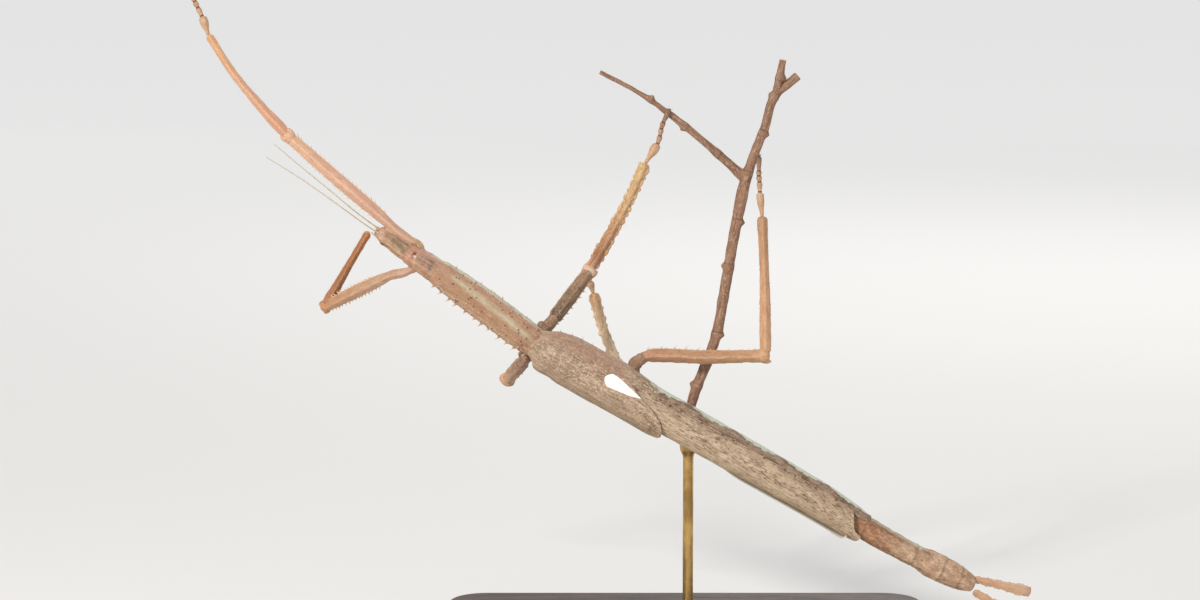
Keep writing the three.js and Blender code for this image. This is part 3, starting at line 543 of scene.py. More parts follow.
class Effects:
    """The shader node groups that the finishes share, each built once."""

    def __init__(self) -> None:
        """Builds every group."""
        self.blotches = self._group("blotches", "Mask", self._blotches, Scale=0.5, Cover=0.5, Soft=0.08)
        self.fibres = self._group("fibres", "Height", self._fibres, Scale=3.0)
        self.specks = self._group("specks", "Mask", self._specks, Scale=1.0, Size=0.25, Cover=0.5)
        self.ragged = self._group("ragged edge", "Mask", self._ragged, Mark=0.0, Scale=2.0, Amount=0.3,
                                  Soft=0.04)
        self.net = self._group("net of veins", "Height", self._net, Scale=1.2, Width=0.06)
        self.dashes = self._group("dashes", "Mask", self._dashes, Scale=4.5, Cover=0.5)

    @staticmethod
    def _group(name: str, output: str, lay: Callable[[Graph, Given], Socket],
               **numbers: float) -> bpy.types.NodeTree:
        """A new group with a Grain vector and number inputs, and one number output.

        Args:
            name: The group's name.
            output: Its output's name.
            lay: Adds its nodes to a graph, working from its inputs by name, and gives what it puts out.
            **numbers: Its number inputs and their usual values.

        Returns:
            The group.
        """
        tree = bpy.data.node_groups.new(name, "ShaderNodeTree")
        tree.interface.new_socket("Grain", in_out="INPUT", socket_type="NodeSocketVector")
        for label, value in numbers.items():
            number = tree.interface.new_socket(label, in_out="INPUT", socket_type="NodeSocketFloat")
            number.default_value = value
        tree.interface.new_socket(output, in_out="OUTPUT", socket_type="NodeSocketFloat")
        graph = Graph(tree)
        given = {socket.name: socket for socket in graph.add("NodeGroupInput").outputs if socket.name}
        graph.add("NodeGroupOutput", {0: lay(graph, given)})
        return tree

    @staticmethod
    def _blotches(graph: Graph, given: Given) -> Socket:
        """Irregular patches, longer along the grain: noise cut off at a level."""
        value = graph.noise(graph.stretch(given["Grain"], (0.45, 1, 1)), given["Scale"], 5.0, 0.62)
        low = graph.minus(graph.minus(1.0, given["Cover"]), given["Soft"])
        return graph.ramp(value, low, graph.plus(low, graph.times(given["Soft"], 2.0)))

    @staticmethod
    def _fibres(graph: Graph, given: Given) -> Socket:
        """Fine lengthwise lines: noise drawn out along the grain."""
        fine = graph.noise(graph.stretch(given["Grain"], (0.07, 1, 1)), given["Scale"], 3.0, 0.6)
        short = graph.noise(graph.stretch(given["Grain"], (0.3, 1, 1)), given["Scale"], 2.0, 0.5)
        return graph.ramp(graph.plus(graph.times(fine, 0.7), graph.times(short, 0.3)), 0.32, 0.68)

    @staticmethod
    def _specks(graph: Graph, given: Given) -> Socket:
        """Scattered round specks: the places close to a random point, kept where a second noise is high."""
        near = graph.cells(given["Grain"], given["Scale"], "F1")
        speck = graph.ramp(graph.math("DIVIDE", near, given["Size"]), 1.0, 0.55)
        soft = graph.noise(given["Grain"], 0.35, 2.0)
        return graph.times(speck, graph.math("GREATER_THAN", soft, graph.minus(1.0, given["Cover"])))

    @staticmethod
    def _ragged(graph: Graph, given: Given) -> Socket:
        """A mark of 0 to 1 cut at its middle value along an uneven line."""
        uneven = graph.times(graph.minus(graph.noise(given["Grain"], given["Scale"]), 0.5), given["Amount"])
        low, high = graph.minus(0.5, given["Soft"]), graph.plus(0.5, given["Soft"])
        return graph.ramp(graph.plus(given["Mark"], uneven), low, high)

    @staticmethod
    def _net(graph: Graph, given: Given) -> Socket:
        """A net of raised lines between cells that are longer along the grain."""
        warp = graph.add("ShaderNodeTexNoise", {"Vector": given["Grain"], "Scale": 0.8}).outputs["Color"]
        moved = {0: given["Grain"], 1: graph.stretch(warp, (1.2, 0.5, 0.5))}
        bent = graph.add("ShaderNodeVectorMath", moved, operation="ADD").outputs[0]
        border = graph.cells(graph.stretch(bent, (0.32, 1, 1)), given["Scale"], "DISTANCE_TO_EDGE")
        line = graph.ramp(graph.math("DIVIDE", border, given["Width"]), 1.0, 0.1)
        return graph.times(line, graph.ramp(graph.noise(given["Grain"], 1.3), 0.38, 0.6))

    @staticmethod
    def _dashes(graph: Graph, given: Given) -> Socket:
        """Short thin lines in clusters: drawn-out noise cut off high, kept where a soft noise is high."""
        fine = graph.noise(graph.stretch(given["Grain"], (0.13, 1, 1)), given["Scale"], 2.0, 0.5)
        soft = graph.noise(graph.stretch(given["Grain"], (0.5, 1, 1)), 0.55, 3.0)
        kept = graph.minus(soft, graph.minus(1.0, given["Cover"]))
        return graph.ramp(graph.plus(fine, graph.times(kept, 0.6)), 0.55, 0.63)


@dataclass(frozen=True)
class Hide:
    """The insect's own surface. Its colour comes from the mesh's tone, and is mottled, streaked and marked.

    Strengths are 0 to 1, scales are in repeats per mm, and depth is the relief's height in mm.
    """

    name: str
    blotch: float = 0.6  # how dark the blotches are
    blotch_scale: float = 0.55
    cover: float = 0.5
    fibre: float = 0.35
    fibre_scale: float = 2.6
    speck: float = 0.5
    speck_scale: float = 0.8
    net: float = 0.0
    net_scale: float = 1.7
    dash: float = 0.3
    fleck: float = 0.5
    roughness: float = 0.58
    depth: float = 0.09
    coat: float = 0.0
    shade: Colour = (0.42, 0.33, 0.27)  # what a blotch leaves of red, green and blue
    stripe: Colour = paint(196, 186, 156)
    pale: Colour = paint(232, 210, 184)
    streak: Colour = paint(92, 62, 44)
    dot: Colour = paint(78, 44, 30)
    white: tuple[Colour, Colour] = (paint(250, 247, 242), paint(228, 218, 216))  # the patch and its mottling

    def material(self, effects: Effects) -> Material:
        """Layers blotches, fibres, specks, net, pale edges, stripes and dots over the tone, with relief."""
        material, graph = Graph.blank(self.name)
        grain, tone, amount = graph.mark("grain", "Vector"), graph.mark("tone", "Color"), graph.mark("blot")
        large = graph.group(effects.blotches, grain, scale=self.blotch_scale, cover=self.cover, soft=0.07)
        small = graph.group(effects.blotches, grain, scale=self.blotch_scale * 4.2, cover=self.cover - 0.03,
                            soft=0.05)
        fibre = graph.group(effects.fibres, grain, scale=self.fibre_scale)
        speck = graph.group(effects.specks, grain, scale=self.speck_scale, size=0.3, cover=0.52)
        flecks = graph.group(effects.blotches, grain, scale=3.1, cover=0.4, soft=0.04)
        dashes = graph.group(effects.dashes, grain, scale=4.2, cover=0.5)
        dark = graph.mix(1.0, tone, self.shade, "MULTIPLY")
        half = graph.mix(0.5, tone, dark)
        colour = graph.lay(tone, dark, large, amount, self.blotch)
        colour = graph.lay(colour, half, small, amount, self.blotch)
        colour = graph.lay(colour, half, graph.ramp(fibre, 0.55, 0.1), self.fibre)
        light = graph.mix(0.5, colour, self.pale)
        colour = graph.lay(colour, light, graph.ramp(fibre, 0.6, 1.0), self.fibre * 0.8)
        colour = graph.lay(colour, self.pale, flecks, amount, self.fleck)
        height = graph.times(fibre, 0.5)
        if self.net:
            net = graph.group(effects.net, grain, scale=self.net_scale, width=0.17)
            net = graph.times(net, graph.mark("crinkle"), self.net)
            colour = graph.lay(colour, self.pale, net, 0.8)
            height = graph.plus(height, net)
        colour = graph.lay(colour, self.streak, dashes, amount, self.dash)
        colour = graph.lay(colour, self.dot, speck, amount, self.speck)
        edge = graph.plus(graph.mark("edge"), graph.times(graph.minus(small, 0.5), 0.3))
        colour = graph.lay(colour, self.pale, graph.ramp(edge, 0.45, 0.95), 0.3)
        stripe = graph.group(effects.ragged, grain, mark=graph.mark("stripe"), scale=1.2, amount=0.4,
                             soft=0.4)
        colour = graph.lay(colour, self.stripe, stripe, graph.ramp(fibre, 0.0, 0.7, 0.5, 0.85))
        colour = graph.lay(colour, self.pale, graph.ramp(graph.mark("tip"), 0.3, 0.8, 0.0, 0.8))
        # The mark "dots" holds dark dots and joint rings, and also painted shade in the tail's hollow.
        dots = graph.group(effects.ragged, grain, mark=graph.mark("dots"), scale=3.0, amount=0.3, soft=0.08)
        colour = graph.lay(colour, self.dot, dots, 0.85)
        patch = graph.group(effects.ragged, grain, mark=graph.mark("patch"), scale=1.4, amount=0.12,
                            soft=0.03)
        colour = graph.lay(colour, graph.lay(*self.white, small, 0.3), patch)
        height = graph.plus(height, graph.times(small, -0.25))
        graph.surface(height, self.depth, 1.0, {
            "Base Color": colour,
            "Roughness": graph.plus(graph.times(fibre, -0.1), self.roughness + 0.05),
            "Specular IOR Level": 0.4,
            "Coat Weight": self.coat,
            "Coat Roughness": 0.3,
        })
        return material


@dataclass(frozen=True)
class EyeGloss:
    """A compound eye: fine facets, a dark middle and faint bands, under a clear gloss."""

    rim: Colour = paint(176, 128, 98)
    middle: Colour = paint(84, 52, 38)
    gap: Colour = paint(40, 26, 20)  # between the facets

    def material(self) -> Material:
        """Bands across the eye and a facet bump."""
        material, graph = Graph.blank("eye_gloss")
        grain = graph.mark("grain", "Vector")
        facets = graph.cells(grain, 7.0, "DISTANCE_TO_EDGE")
        bands = graph.noise(graph.stretch(grain, (0.4, 2.5, 2.5)), 1.2, 3.0)
        mask = graph.plus(graph.mark("middle"), graph.times(graph.minus(bands, 0.5), 0.8))
        colour = graph.lay(self.rim, self.middle, graph.ramp(mask, 0.35, 0.85))
        colour = graph.lay(colour, self.gap, graph.ramp(facets, 0.12, 0.0, 0.0, 0.25))
        graph.surface(graph.ramp(facets, 0.0, 0.2), 0.03, 0.5, {
            "Base Color": colour, "Roughness": 0.28, "Coat Weight": 0.6, "Coat Roughness": 0.1})
        return material


@dataclass(frozen=True)
class Bark:
    """Young bark: dull pinkish brown with lengthwise cracks, pale flakes, corky specks and bare cut ends."""

    base: Colour = paint(158, 120, 96)
    dark: Colour = paint(98, 68, 52)
    flake: Colour = paint(186, 158, 134)
    wood: Colour = paint(214, 184, 140)

    def material(self, effects: Effects) -> Material:
        """Cracks, flakes and specks over the base colour. The mark "cut" shows the wood."""
        material, graph = Graph.blank("bark")
        grain = graph.mark("grain", "Vector")
        large = graph.group(effects.blotches, grain, scale=0.35, cover=0.5, soft=0.12)
        flakes = graph.group(effects.blotches, grain, scale=1.6, cover=0.44, soft=0.05)
        cracks = graph.group(effects.fibres, grain, scale=1.5)
        specks = graph.group(effects.specks, grain, scale=0.7, size=0.25, cover=0.6)
        colour = graph.lay(self.base, self.dark, large, 0.45)
        colour = graph.lay(colour, self.flake, flakes, 0.5)
        colour = graph.lay(colour, self.dark, graph.ramp(cracks, 0.5, 0.05), 0.6)
        colour = graph.lay(colour, self.flake, specks, 0.7)
        # The mark "dots" holds the painted crease shade just before each leaf scar.
        colour = graph.lay(colour, self.dark, graph.mark("dots"), 0.8)
        rings = graph.math("SINE", graph.times(graph.mark("ring"), 26.0))
        wood = graph.lay(self.wood, self.dark, graph.ramp(rings, -0.2, 1.0), 0.35)
        colour = graph.lay(colour, wood, graph.mark("cut"))
        graph.surface(graph.plus(cracks, graph.times(specks, 0.6)), 0.16, 1.0, {
            "Base Color": colour, "Roughness": 0.78, "Specular IOR Level": 0.3})
        return material


@dataclass(frozen=True)
class StainedWood:
    """Dark stained hardwood with a satin finish, its grain along the base."""

    light: Colour = paint(92, 62, 42)
    dark: Colour = paint(44, 28, 20)
    pore: Colour = paint(26, 16, 12)
    rubbed: Colour = paint(128, 92, 64)

    def material(self, effects: Effects) -> Material:
        """Growth rings seen side on, pores along them, and edges rubbed a little lighter."""
        material, graph = Graph.blank("stained_wood")
        in_mm = graph.stretch(graph.add("ShaderNodeTexCoord").outputs["Object"], (1 / MM,) * 3)
        bend = graph.noise(graph.stretch(in_mm, (0.2, 1, 1)), 0.06, 3.0)
        depth = graph.add("ShaderNodeSeparateXYZ", {0: in_mm}).outputs[1]
        rings = graph.math("SINE", graph.plus(graph.times(depth, 0.55), graph.times(bend, 22.0)))
        pores = graph.group(effects.fibres, in_mm, scale=1.3)
        colour = graph.lay(self.dark, self.light, graph.ramp(rings, -1.0, 1.0, 0.15, 0.8))
        colour = graph.lay(colour, self.pore, graph.ramp(pores, 0.4, 0.1), 0.6)
        colour = graph.lay(colour, self.rubbed, graph.mark("edge"), 0.35)
        graph.surface(pores, 0.08, 0.6, {
            "Base Color": colour, "Roughness": graph.ramp(pores, 0.0, 1.0, 0.52, 0.36),
            "Coat Weight": 0.15, "Coat Roughness": 0.25})
        return material


@dataclass(frozen=True)
class AgedBrass:
    """Brushed brass with faint tarnish."""

    bright: Colour = paint(206, 168, 104)
    tarnish: Colour = paint(122, 92, 58)

    def material(self, effects: Effects) -> Material:
        """Tarnish clouds and brush marks round the rod."""
        material, graph = Graph.blank("aged_brass")
        grain = graph.mark("grain", "Vector")
        clouds = graph.group(effects.blotches, grain, scale=0.25, cover=0.46, soft=0.14)
        brushed = graph.noise(graph.stretch(grain, (6, 0.4, 0.4)), 1.5, 3.0)
        rough = graph.plus(graph.times(brushed, 0.18), graph.times(clouds, 0.14))
        graph.surface(brushed, 0.02, 0.3, {
            "Base Color": graph.lay(self.bright, self.tarnish, clouds, 0.6),
            "Roughness": graph.plus(rough, 0.18), "Metallic": 1.0})
        return material


# ---- Pieces ----


class Slot(Enum):
    """The part's material slots."""

    BODY = "body"
    WING = "wing"
    LEG = "leg"
    EYE = "eye"
    FEELER = "feeler"
    CERCUS = "cercus"
    BARK = "bark"
    BASE = "base"
    ROD = "rod"


def linked(name: str, data: bpy.types.ID) -> bpy.types.Object:
    """A new object in the scene."""
    thing = bpy.data.objects.new(name, data)
    bpy.context.scene.collection.objects.link(thing)
    return thing


def place(name: str, shell: Shell, material: Material, slot: Slot, *nodes: str) -> None:
    """Puts a shell into a mesh, in metres, and hangs it on the frame.

    Args:
        name: The piece's name.
        shell: Its surface, in mm.
        material: Its finish.
        slot: The material slot that it stands for. Not used.
        *nodes: The solids that it replaces.
    """
    mesh = bpy.data.meshes.new(name)
    faces = [row for face in shell.faces for row in face.tolist()]
    mesh.from_pydata((shell.points * MM).tolist(), [], faces)
    mesh.polygons.foreach_set("use_smooth", np.ones(len(mesh.polygons), bool))
    for mark, values in shell.marks.items():
        kind, key = ("FLOAT_VECTOR", "vector") if values.ndim == 2 else ("FLOAT", "value")
        if mark == "tone":
            kind, key = "FLOAT_COLOR", "color"
            values = np.concatenate([values, np.ones((len(values), 1))], 1)
        mesh.attributes.new(mark, kind, "POINT").data.foreach_set(key, values.ravel().astype(np.float32))
    mesh.materials.append(material)
    mesh.update()
    piece = linked(name, mesh)
    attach(piece, "root")
    if nodes:
        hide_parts(*nodes)
    log.info("%s: %d points, %d faces", name, len(mesh.vertices), len(mesh.polygons))


# ---- The body ----


class BodyLine(Path):
    """The body's middle line, with the directions of its right side and its back at every place."""

    PLANE = -13.0
    ROLL = math.radians(20)  # the back is turned up by this much
    SPOTS = ((-93.4, 133.1), (-84.2, 126.1), (-76.1, 120.8), (-60, 109), (-45, 98), (-31.5, 90.4),
             (-14.9, 81.6), (33.5, 54.3), (60.9, 37.9), (76.2, 29.8), (86.9, 24.4))

    def __init__(self) -> None:
        """Lays the line in its plane."""
        super().__init__(tuple((x, self.PLANE, z) for x, z in self.SPOTS))

    def frame(self, at: Array) -> Frame:
        """Middle, direction of the tail, of the right side and of the back."""
        middle, tail = self.at(at)
        across = together(-tail[..., 2], 0.0, tail[..., 0])
        right = across * math.cos(self.ROLL) + FAR * math.sin(self.ROLL)
        back = across * math.sin(self.ROLL) - FAR * math.cos(self.ROLL)
        return middle, tail, right, back

    def surface(self, at: Array, angle: Array, width: Array, height: Array,
                lift: Array | float = 0.0) -> Array:
        """Points round the body, on an ellipse of half width and half height, at degrees from the back."""
        middle, _, right, back = self.frame(at)
        turn = np.radians(angle)
        side, up = width * np.sin(turn), height * np.cos(turn) + lift
        return middle + right * np.asarray(side)[..., None] + back * np.asarray(up)[..., None]


BODY = BodyLine()


@dataclass(frozen=True)
class Trunk:
    """Head, thorax and abdomen as one surface, with the mouth under the head's front.

    Places are in mm along the body line: the head ends at 11, the thorax at 59 and the abdomen at 210.6,
    and the wings hide the back from 60 to 167.
    """

    width: Profile = profile(
        0, 1.5, 1.5, 2.2, 4, 2.6, 8, 2.8, 10.4, 2.85, 12, 3.1, 15, 3.4, 21, 3.8, 27, 4.2, 40, 4.7, 52, 4.7,
        59, 4.3, 75, 4.5, 100, 4.1, 140, 3.8, 172, 3.55, 190, 3.3, 197, 4.0, 203, 3.75, 211, 2.2)
    height: Profile = profile(
        0, 1.4, 1.5, 2.1, 4, 2.5, 8, 2.55, 10.4, 2.5, 12, 2.7, 15, 3.0, 21, 3.3, 27, 3.65, 40, 4.15, 52, 4.15,
        59, 3.8, 75, 3.8, 100, 3.4, 140, 3.1, 172, 2.75, 190, 2.55, 197, 2.85, 203, 2.35, 211, 1.4)
    lift: Profile = profile(0, -0.7, 4, -0.2, 11, 0)
    front: float = -0.1
    end: float = 210.6
    round_front: float = 0.7  # length over which the front rounds off
    round_end: float = 0.9
    columns: int = 96
    segments: tuple[float, ...] = (92, 108, 124, 140, 156, 172.5, 190, 199.5, 205.5)
    eye_at: float = 3.4
    eye_angle: float = 68.0
    eye_radius: float = 1.0
    bumps: Table = (  # bells and pits on both sides: place, angle, half length, half width, height
        (1.1, 26, 0.45, 0.6, 0.4), (1.9, 52, 0.6, 0.5, 0.2), (7.2, 76, 2.0, 1.2, 0.14),
        (9.2, 22, 0.5, 0.6, 0.2), (8.0, 34, 0.4, 0.4, 0.16), (5.6, 30, 0.5, 0.4, 0.14),
        (12.4, 20, 0.35, 0.9, 0.14), (4.8, 8, 0.5, 0.4, 0.1), (16.2, 24, 0.5, 0.5, 0.22),
        (18.8, 30, 0.5, 0.5, 0.2), (14.2, 48, 0.6, 0.6, 0.18), (0.4, 180, 1.0, 1.6, 0.3),
    )
    ridges: Table = (  # lengthwise, on both sides: from, to, angle, half width, height
        (1.0, 2.6, 0, 0.3, 0.25), (3.6, 10.2, 0, 0.2, -0.16), (3.8, 10.2, 20, 0.35, 0.14),
        (1.6, 11.0, 48, 0.32, 0.32), (4.6, 10.6, 62, 0.25, -0.14), (12.6, 20.2, 0, 0.22, -0.16),
        (13.0, 19.6, 76, 0.4, 0.14), (22.0, 58.0, 0, 0.45, 0.12), (22.0, 58.0, 84, 0.5, 0.28),
        (173.0, 209.0, 0, 0.3, 0.16), (60.0, 209.0, 96, 0.4, 0.22),
    )
    folds: Table = (  # across the back: place, half length, height, how far its sides lie further back
        (10.9, 0.22, -0.2, 0), (11.9, 0.4, 0.1, 0), (13.5, 0.3, -0.12, 1.2), (14.3, 0.35, 0.08, 1.0),
        (20.95, 0.2, -0.13, 0), (59, 0.5, -0.1, 0),
    )
    thorn_rows: Table = (  # angle, from, to, spacing, height
        (-98, 23, 58, 3.1, 1.7), (78, 26, 56, 4.2, 1.0), (-44, 25, 56, 4.6, 0.8),
        (36, 28, 56, 4.6, 0.8), (-74, 24, 58, 3.4, 0.9), (56, 25, 57, 4.0, 0.6),
    )
    spacings: Pairs = ((22, 0.17), (60, 0.4), (167, 1.6), (209.6, 0.4))  # of the rows, each up to a place
    inside: Pairs = ((210.1, 0.55), (209.4, 0.46), (208.2, 0.34))  # rings in the tail's hollow
    stripe_angle: Profile = profile(21, 11, 34, 5, 46, -3, 57, -9)
    tan: Colour = paint(180, 138, 106)
    rose: Colour = paint(192, 148, 122)
    head: Colour = paint(186, 148, 118)
    olive: Colour = paint(126, 104, 78)
    mauve: Colour = paint(122, 106, 102)
    leaf: Colour = paint(206, 210, 182)
    brown: Colour = paint(156, 122, 96)
    tail: Colour = paint(200, 162, 130)
    belly: Colour = paint(172, 138, 108)

    def places(self) -> Array:
        """Rows close together on the head and wherever the body shows, wider apart under the wings."""
        rows = [self.front + self.round_front * (1 - np.cos(np.linspace(0.2, QUARTER, 7)))[:-1]]
        start = self.front + self.round_front
        for end, spacing in self.spacings:
            rows.append(np.arange(start, end, spacing))
            start = end
        last = self.round_end * (1 - np.cos(np.linspace(0.1, QUARTER, 8)))
        return np.concatenate([*rows, self.end - last[::-1]])

    def relief(self, at: Array, angle: Array, radius: Array) -> Array:
        """Height over the plain ellipse: folds, ridges, bumps, eye rims, segment steps and wrinkles."""
        total = np.zeros(np.broadcast(at, angle).shape)
        turn, mirrored = np.radians(angle), np.abs(angle)
        arc = np.radians(1.0) * radius
        for middle, long, height, sweep in self.folds:
            total += height * hump(at - sweep * (1 - np.cos(turn)), middle, long)
        for start, end, facing, wide, height in self.ridges:
            total += height * window(at, start, end, 0.8) * hump((mirrored - facing) * arc, 0, wide)
        for middle, facing, long, wide, height in self.bumps:
            total += height * hump(at, middle, long) * hump((mirrored - facing) * arc, 0, wide)
        rim = np.hypot(at - self.eye_at, (mirrored - self.eye_angle) * arc)
        total += 0.26 * hump(rim, self.eye_radius + 0.1, 0.24) - 0.25 * hump(rim, 0, self.eye_radius * 0.7)
        for border in self.segments:
            total += 0.14 * window(at, border - 2.2, border, 0.12) * step(at, border - 2.2, border)
            total -= 0.2 * hump(at, border + 0.25, 0.3)
        lengthwise = together(at * 0.16, radius * np.sin(turn), radius * np.cos(turn))
        total += (0.03 + 0.05 * window(at, 60, 215, 4)) * swell(lengthwise, 1.1, 3, 32)
        total += 0.05 * swell(lengthwise * [6.0, 1, 1], 2.2, 4)
        return total

    def grains(self) -> tuple[Array, Array, Array]:
        """Scattered grains of the thorax: places, angles and sizes from 0 to 1."""
        rng = np.random.default_rng(11)
        many = 190
        return rng.uniform(22.5, 58.5, many), rng.uniform(-1, 1, many) * 100, rng.uniform(0.2, 1, many)

    def tone(self, at: Array, angle: Array, uneven: Array) -> Array:
        """Colours by place and angle from the back. An uneven swell moves the borders between them."""
        side = np.abs(angle)
        patchy = step(swell(together(at, angle * 0.06, 0 * uneven), 2.6, 9), -0.5, 0.6)
        crown = window(at + 0.5 * uneven, 2.4, 10.2, 1.1) * (0.5 + 0.3 * patchy)
        shield = window(at, 13.6, 19.8, 0.6) * (1 - step(side + 16 * uneven, 8, 30))
        arcs = hump(at, 12.0, 0.45) + hump(at, 13.2 + 1.6 * side / 60, 0.3)
        arcs = arcs + hump(at, 11.0 - 0.8 * side / 60, 0.3)
        red = np.hypot((at - 13.0) * 0.8, (angle - 5) * 0.045)
        # The middle of a painted highlight: a white spot next to the red one.
        white = np.hypot((at - 13.5) * 0.8, (angle + 7) * 0.055)
        lower = step(angle + 2 * uneven, 47, 53) * (1 - step(angle, 76, 86))
        tail_lower = step(angle + 5 * uneven, 42, 50) * (1 - step(angle, 80, 92))
        rear = [border + 0.2 for border in self.segments[-3:]]
        borders = [(paint(118, 82, 62), hump(at + 0.3 * uneven, border, 0.35) * 0.42) for border in rear]
        return layered(
            self.tan,
            (self.rose, step(angle + 22 * uneven, -45, 40) * 0.85),
            (paint(158, 120, 90), hump(angle, -20, 26) * 0.5),
            (self.leaf, lower * window(at, 19, 56, 3) * 0.85),
            (self.leaf, hump(angle, -68, 6) * window(at, 25, 54, 3) * 0.25),
            (self.head, 1 - step(at, 10.0, 12.0)),
            (self.olive, (1 - step(side + 12 * uneven, 22, 44)) * crown),
            (paint(208, 164, 132), hump(side, 48, 5) * window(at, 1.6, 11.0, 0.8) * 0.8),
            (self.olive, hump(side, 62, 6) * window(at, 4.6, 10.0, 0.6) * 0.6),
            (paint(212, 164, 140), hump(at, 1.5, 0.9) * (1 - step(side, 50, 70)) * 0.8),
            (paint(150, 118, 92), (1 - patchy) * window(at, 1.5, 11, 1) * step(side, 40, 60) * 0.35),
            (self.mauve, shield * (0.25 + 0.65 * patchy)),
            (paint(214, 172, 146), hump(side, 34, 9) * window(at, 12.5, 21, 1) * 0.45),
            (paint(132, 112, 98), hump(at, 10.8, 1.1) * (1 - step(side + 10 * uneven, 14, 34)) * 0.6),
            (paint(210, 146, 122), np.clip(arcs, 0, 1) * (1 - step(side, 70, 100)) * 0.75),
            (paint(122, 52, 44), 1 - step(red, 0.25, 0.6)),
            # A painted highlight: the white spot next to the red one.
            (paint(240, 226, 220), 1 - step(white, 0.25, 0.5)),
            (self.brown, step(at, 57, 61)),
            (self.tail, step(at, 168, 174)),
            (paint(182, 128, 88), window(at, 168, 181, 3) * (0.5 + 0.4 * patchy)),
            (paint(132, 92, 68), hump(angle - 6 * uneven, 34, 12) * window(at, 168, 194, 2) * 0.55),
            (self.leaf, tail_lower * window(at, 168, 192, 2) * 0.8),
            (paint(224, 196, 166), (1 - patchy) * step(at, 183, 188) * 0.45),
            (paint(198, 160, 130), step(at, 198, 206) * 0.6),
            *borders,
            (self.belly, step(side, 118, 150) * 0.8),
        )

    def shell(self) -> Shell:
        """One tube from the front of the head to the tail; its last rings turn in to a hollow painted dark as
        shade.
        """
        at = self.places()[:, None]
        angle = (np.linspace(-180, 180, self.columns, endpoint=False) + 180 / self.columns)[None, :]
        width, height = self.width(at), self.height(at)
        radius = (width + height) / 2
        turn = np.radians(angle)
        grain = together(at, radius * np.sin(turn), radius * np.cos(turn))
        rise = self.relief(at, angle, radius)
        grain_at, grain_angle, size = self.grains()
        apart = together(at, angle * np.radians(1) * radius).reshape(-1, 2)
        spots = together(grain_at, grain_angle * np.radians(1) * 4.2)
        near = np.linalg.norm(apart[:, None] - spots[None], axis=-1)
        rise += (0.32 * size * np.exp(-((near / 0.3) ** 2))).max(-1).reshape(rise.shape)
        dots = np.clip(1.1 - near / (0.26 + 0.24 * size), 0, 1) * (size > 0.8)
        ends = np.minimum(at - self.front, self.round_front) / self.round_front
        tail = np.minimum(self.end - at, self.round_end) / self.round_end
        closing = rounded(ends) * np.sqrt(np.clip(1 - 0.55 * (1 - tail) ** 2, 0, 1))
        rings = BODY.surface(at, angle, (width + rise) * closing, (height + rise) * closing, self.lift(at))
        depth, share = np.array(self.inside).T[..., None]
        hollow = BODY.surface(depth, angle, 2.1 * share, 1.5 * share)
        away = np.abs(angle - self.stripe_angle(at)) * np.radians(1) * radius
        marks = {
            "grain": grain,
            "tone": self.tone(at, angle, swell(grain * [0.7, 1, 1], 5.0, 6)),
            "blot": 0.35 + 0.12 * window(at, 12, 21, 1) + 0.55 * step(at, 52, 58),
            "stripe": np.clip(0.5 + (0.75 - away) / 2.6, 0, 1) * window(at, 25.0, 57, 5.0),
            "dots": dots.max(-1).reshape(rise.shape),
            "crinkle": 0.5 * step(at, 53, 60),
        }
        padded = {name: np.concatenate([mark, np.repeat(mark[-1:], len(hollow), 0)])
                  for name, mark in marks.items()}
        # The hollow's rings are painted fully dark: painted shade inside the tail's end.
        dark = np.arange(len(rings) + len(hollow)) >= len(rings)
        padded["dots"] = np.maximum(padded["dots"], dark[:, None])
        return Shell.tubes(np.concatenate([rings, hollow]), padded)

    def thorns(self) -> Shell:
        """The rows of thorns, each a little off its place, leaning towards the head, mottled dark and paler
        at the tip.
        """
        rng = np.random.default_rng(21)
        shells = []
        for facing, start, end, spacing, height in self.thorn_rows:
            at = np.arange(start, end, spacing)
            at = at + rng.uniform(-0.5, 0.5, len(at))
            angle = facing + rng.uniform(-4, 4, len(at))
            middle, tail, _, _ = BODY.frame(at)
            feet = BODY.surface(at, angle, self.width(at) * 0.99, self.height(at) * 0.99)
            size = height * rng.uniform(0.7, 1.1, len(at))
            radii = 0.24 + 0.28 * size
            shells.append(thorns(feet, feet - middle, -tail, size, radii, tone=self.rose, dots=0.45))
        return Shell.joined(shells)

    def mouth(self) -> Shell:
        """Upper lip, jaws and lower lip as ellipsoids under the head's front, and two pairs of bent palps."""
        middle, *ways = BODY.frame(np.array(0.2))
        basis = np.stack(ways)
        size = np.array((  # along, side, up, half length, half width, half height
            (-0.35, 0.0, -1.25, 0.35, 0.95, 0.75), (0.1, 0.62, -1.7, 0.75, 0.55, 0.9),
            (0.1, -0.62, -1.7, 0.75, 0.55, 0.9), (1.0, 0.0, -2.0, 0.8, 1.1, 0.65),
            (-0.55, 0.0, -0.45, 0.4, 1.15, 0.5)))
        jaw = paint(150, 104, 74)
        tone = (paint(188, 146, 116), jaw, jaw, paint(170, 128, 98), paint(206, 162, 138))
        centres, axes = middle + size[:, :3] @ basis, basis[None] * size[:, 3:, None]
        shells = [ellipsoids(centres, axes, tone=tone, blot=0.4)]
        width = profile(0, 0.26, 0.3, 0.28, 0.34, 0.22, 0.62, 0.27, 0.66, 0.2, 0.92, 0.24, 1, 0.18)
        for side in (-1, 1):
            for reach, start in ((1.0, (0.5, 0.85, -1.7)), (0.7, (1.2, 0.5, -2.0))):
                root = middle + np.array(start) * [1, side, 1] @ basis
                knuckle = root + np.array([-0.4, side * 0.35, -1.2]) * reach @ basis
                tip = knuckle + np.array([-1.4, -side * 0.1, -0.3]) * reach @ basis
                palp = Limb((tuple(root), tuple(knuckle), tuple(tip)), width, 1.0, 0.0, 0.12, 10, 0.25)
                shells.append(palp.shell(shades((0, 176, 134, 104), (1, 206, 172, 140)), blot=0.3))
        return Shell.joined(shells)


# ---- The legs ----

CREAM = paint(230, 204, 168)
SAND = paint(216, 178, 134)
UMBER = paint(124, 100, 72)


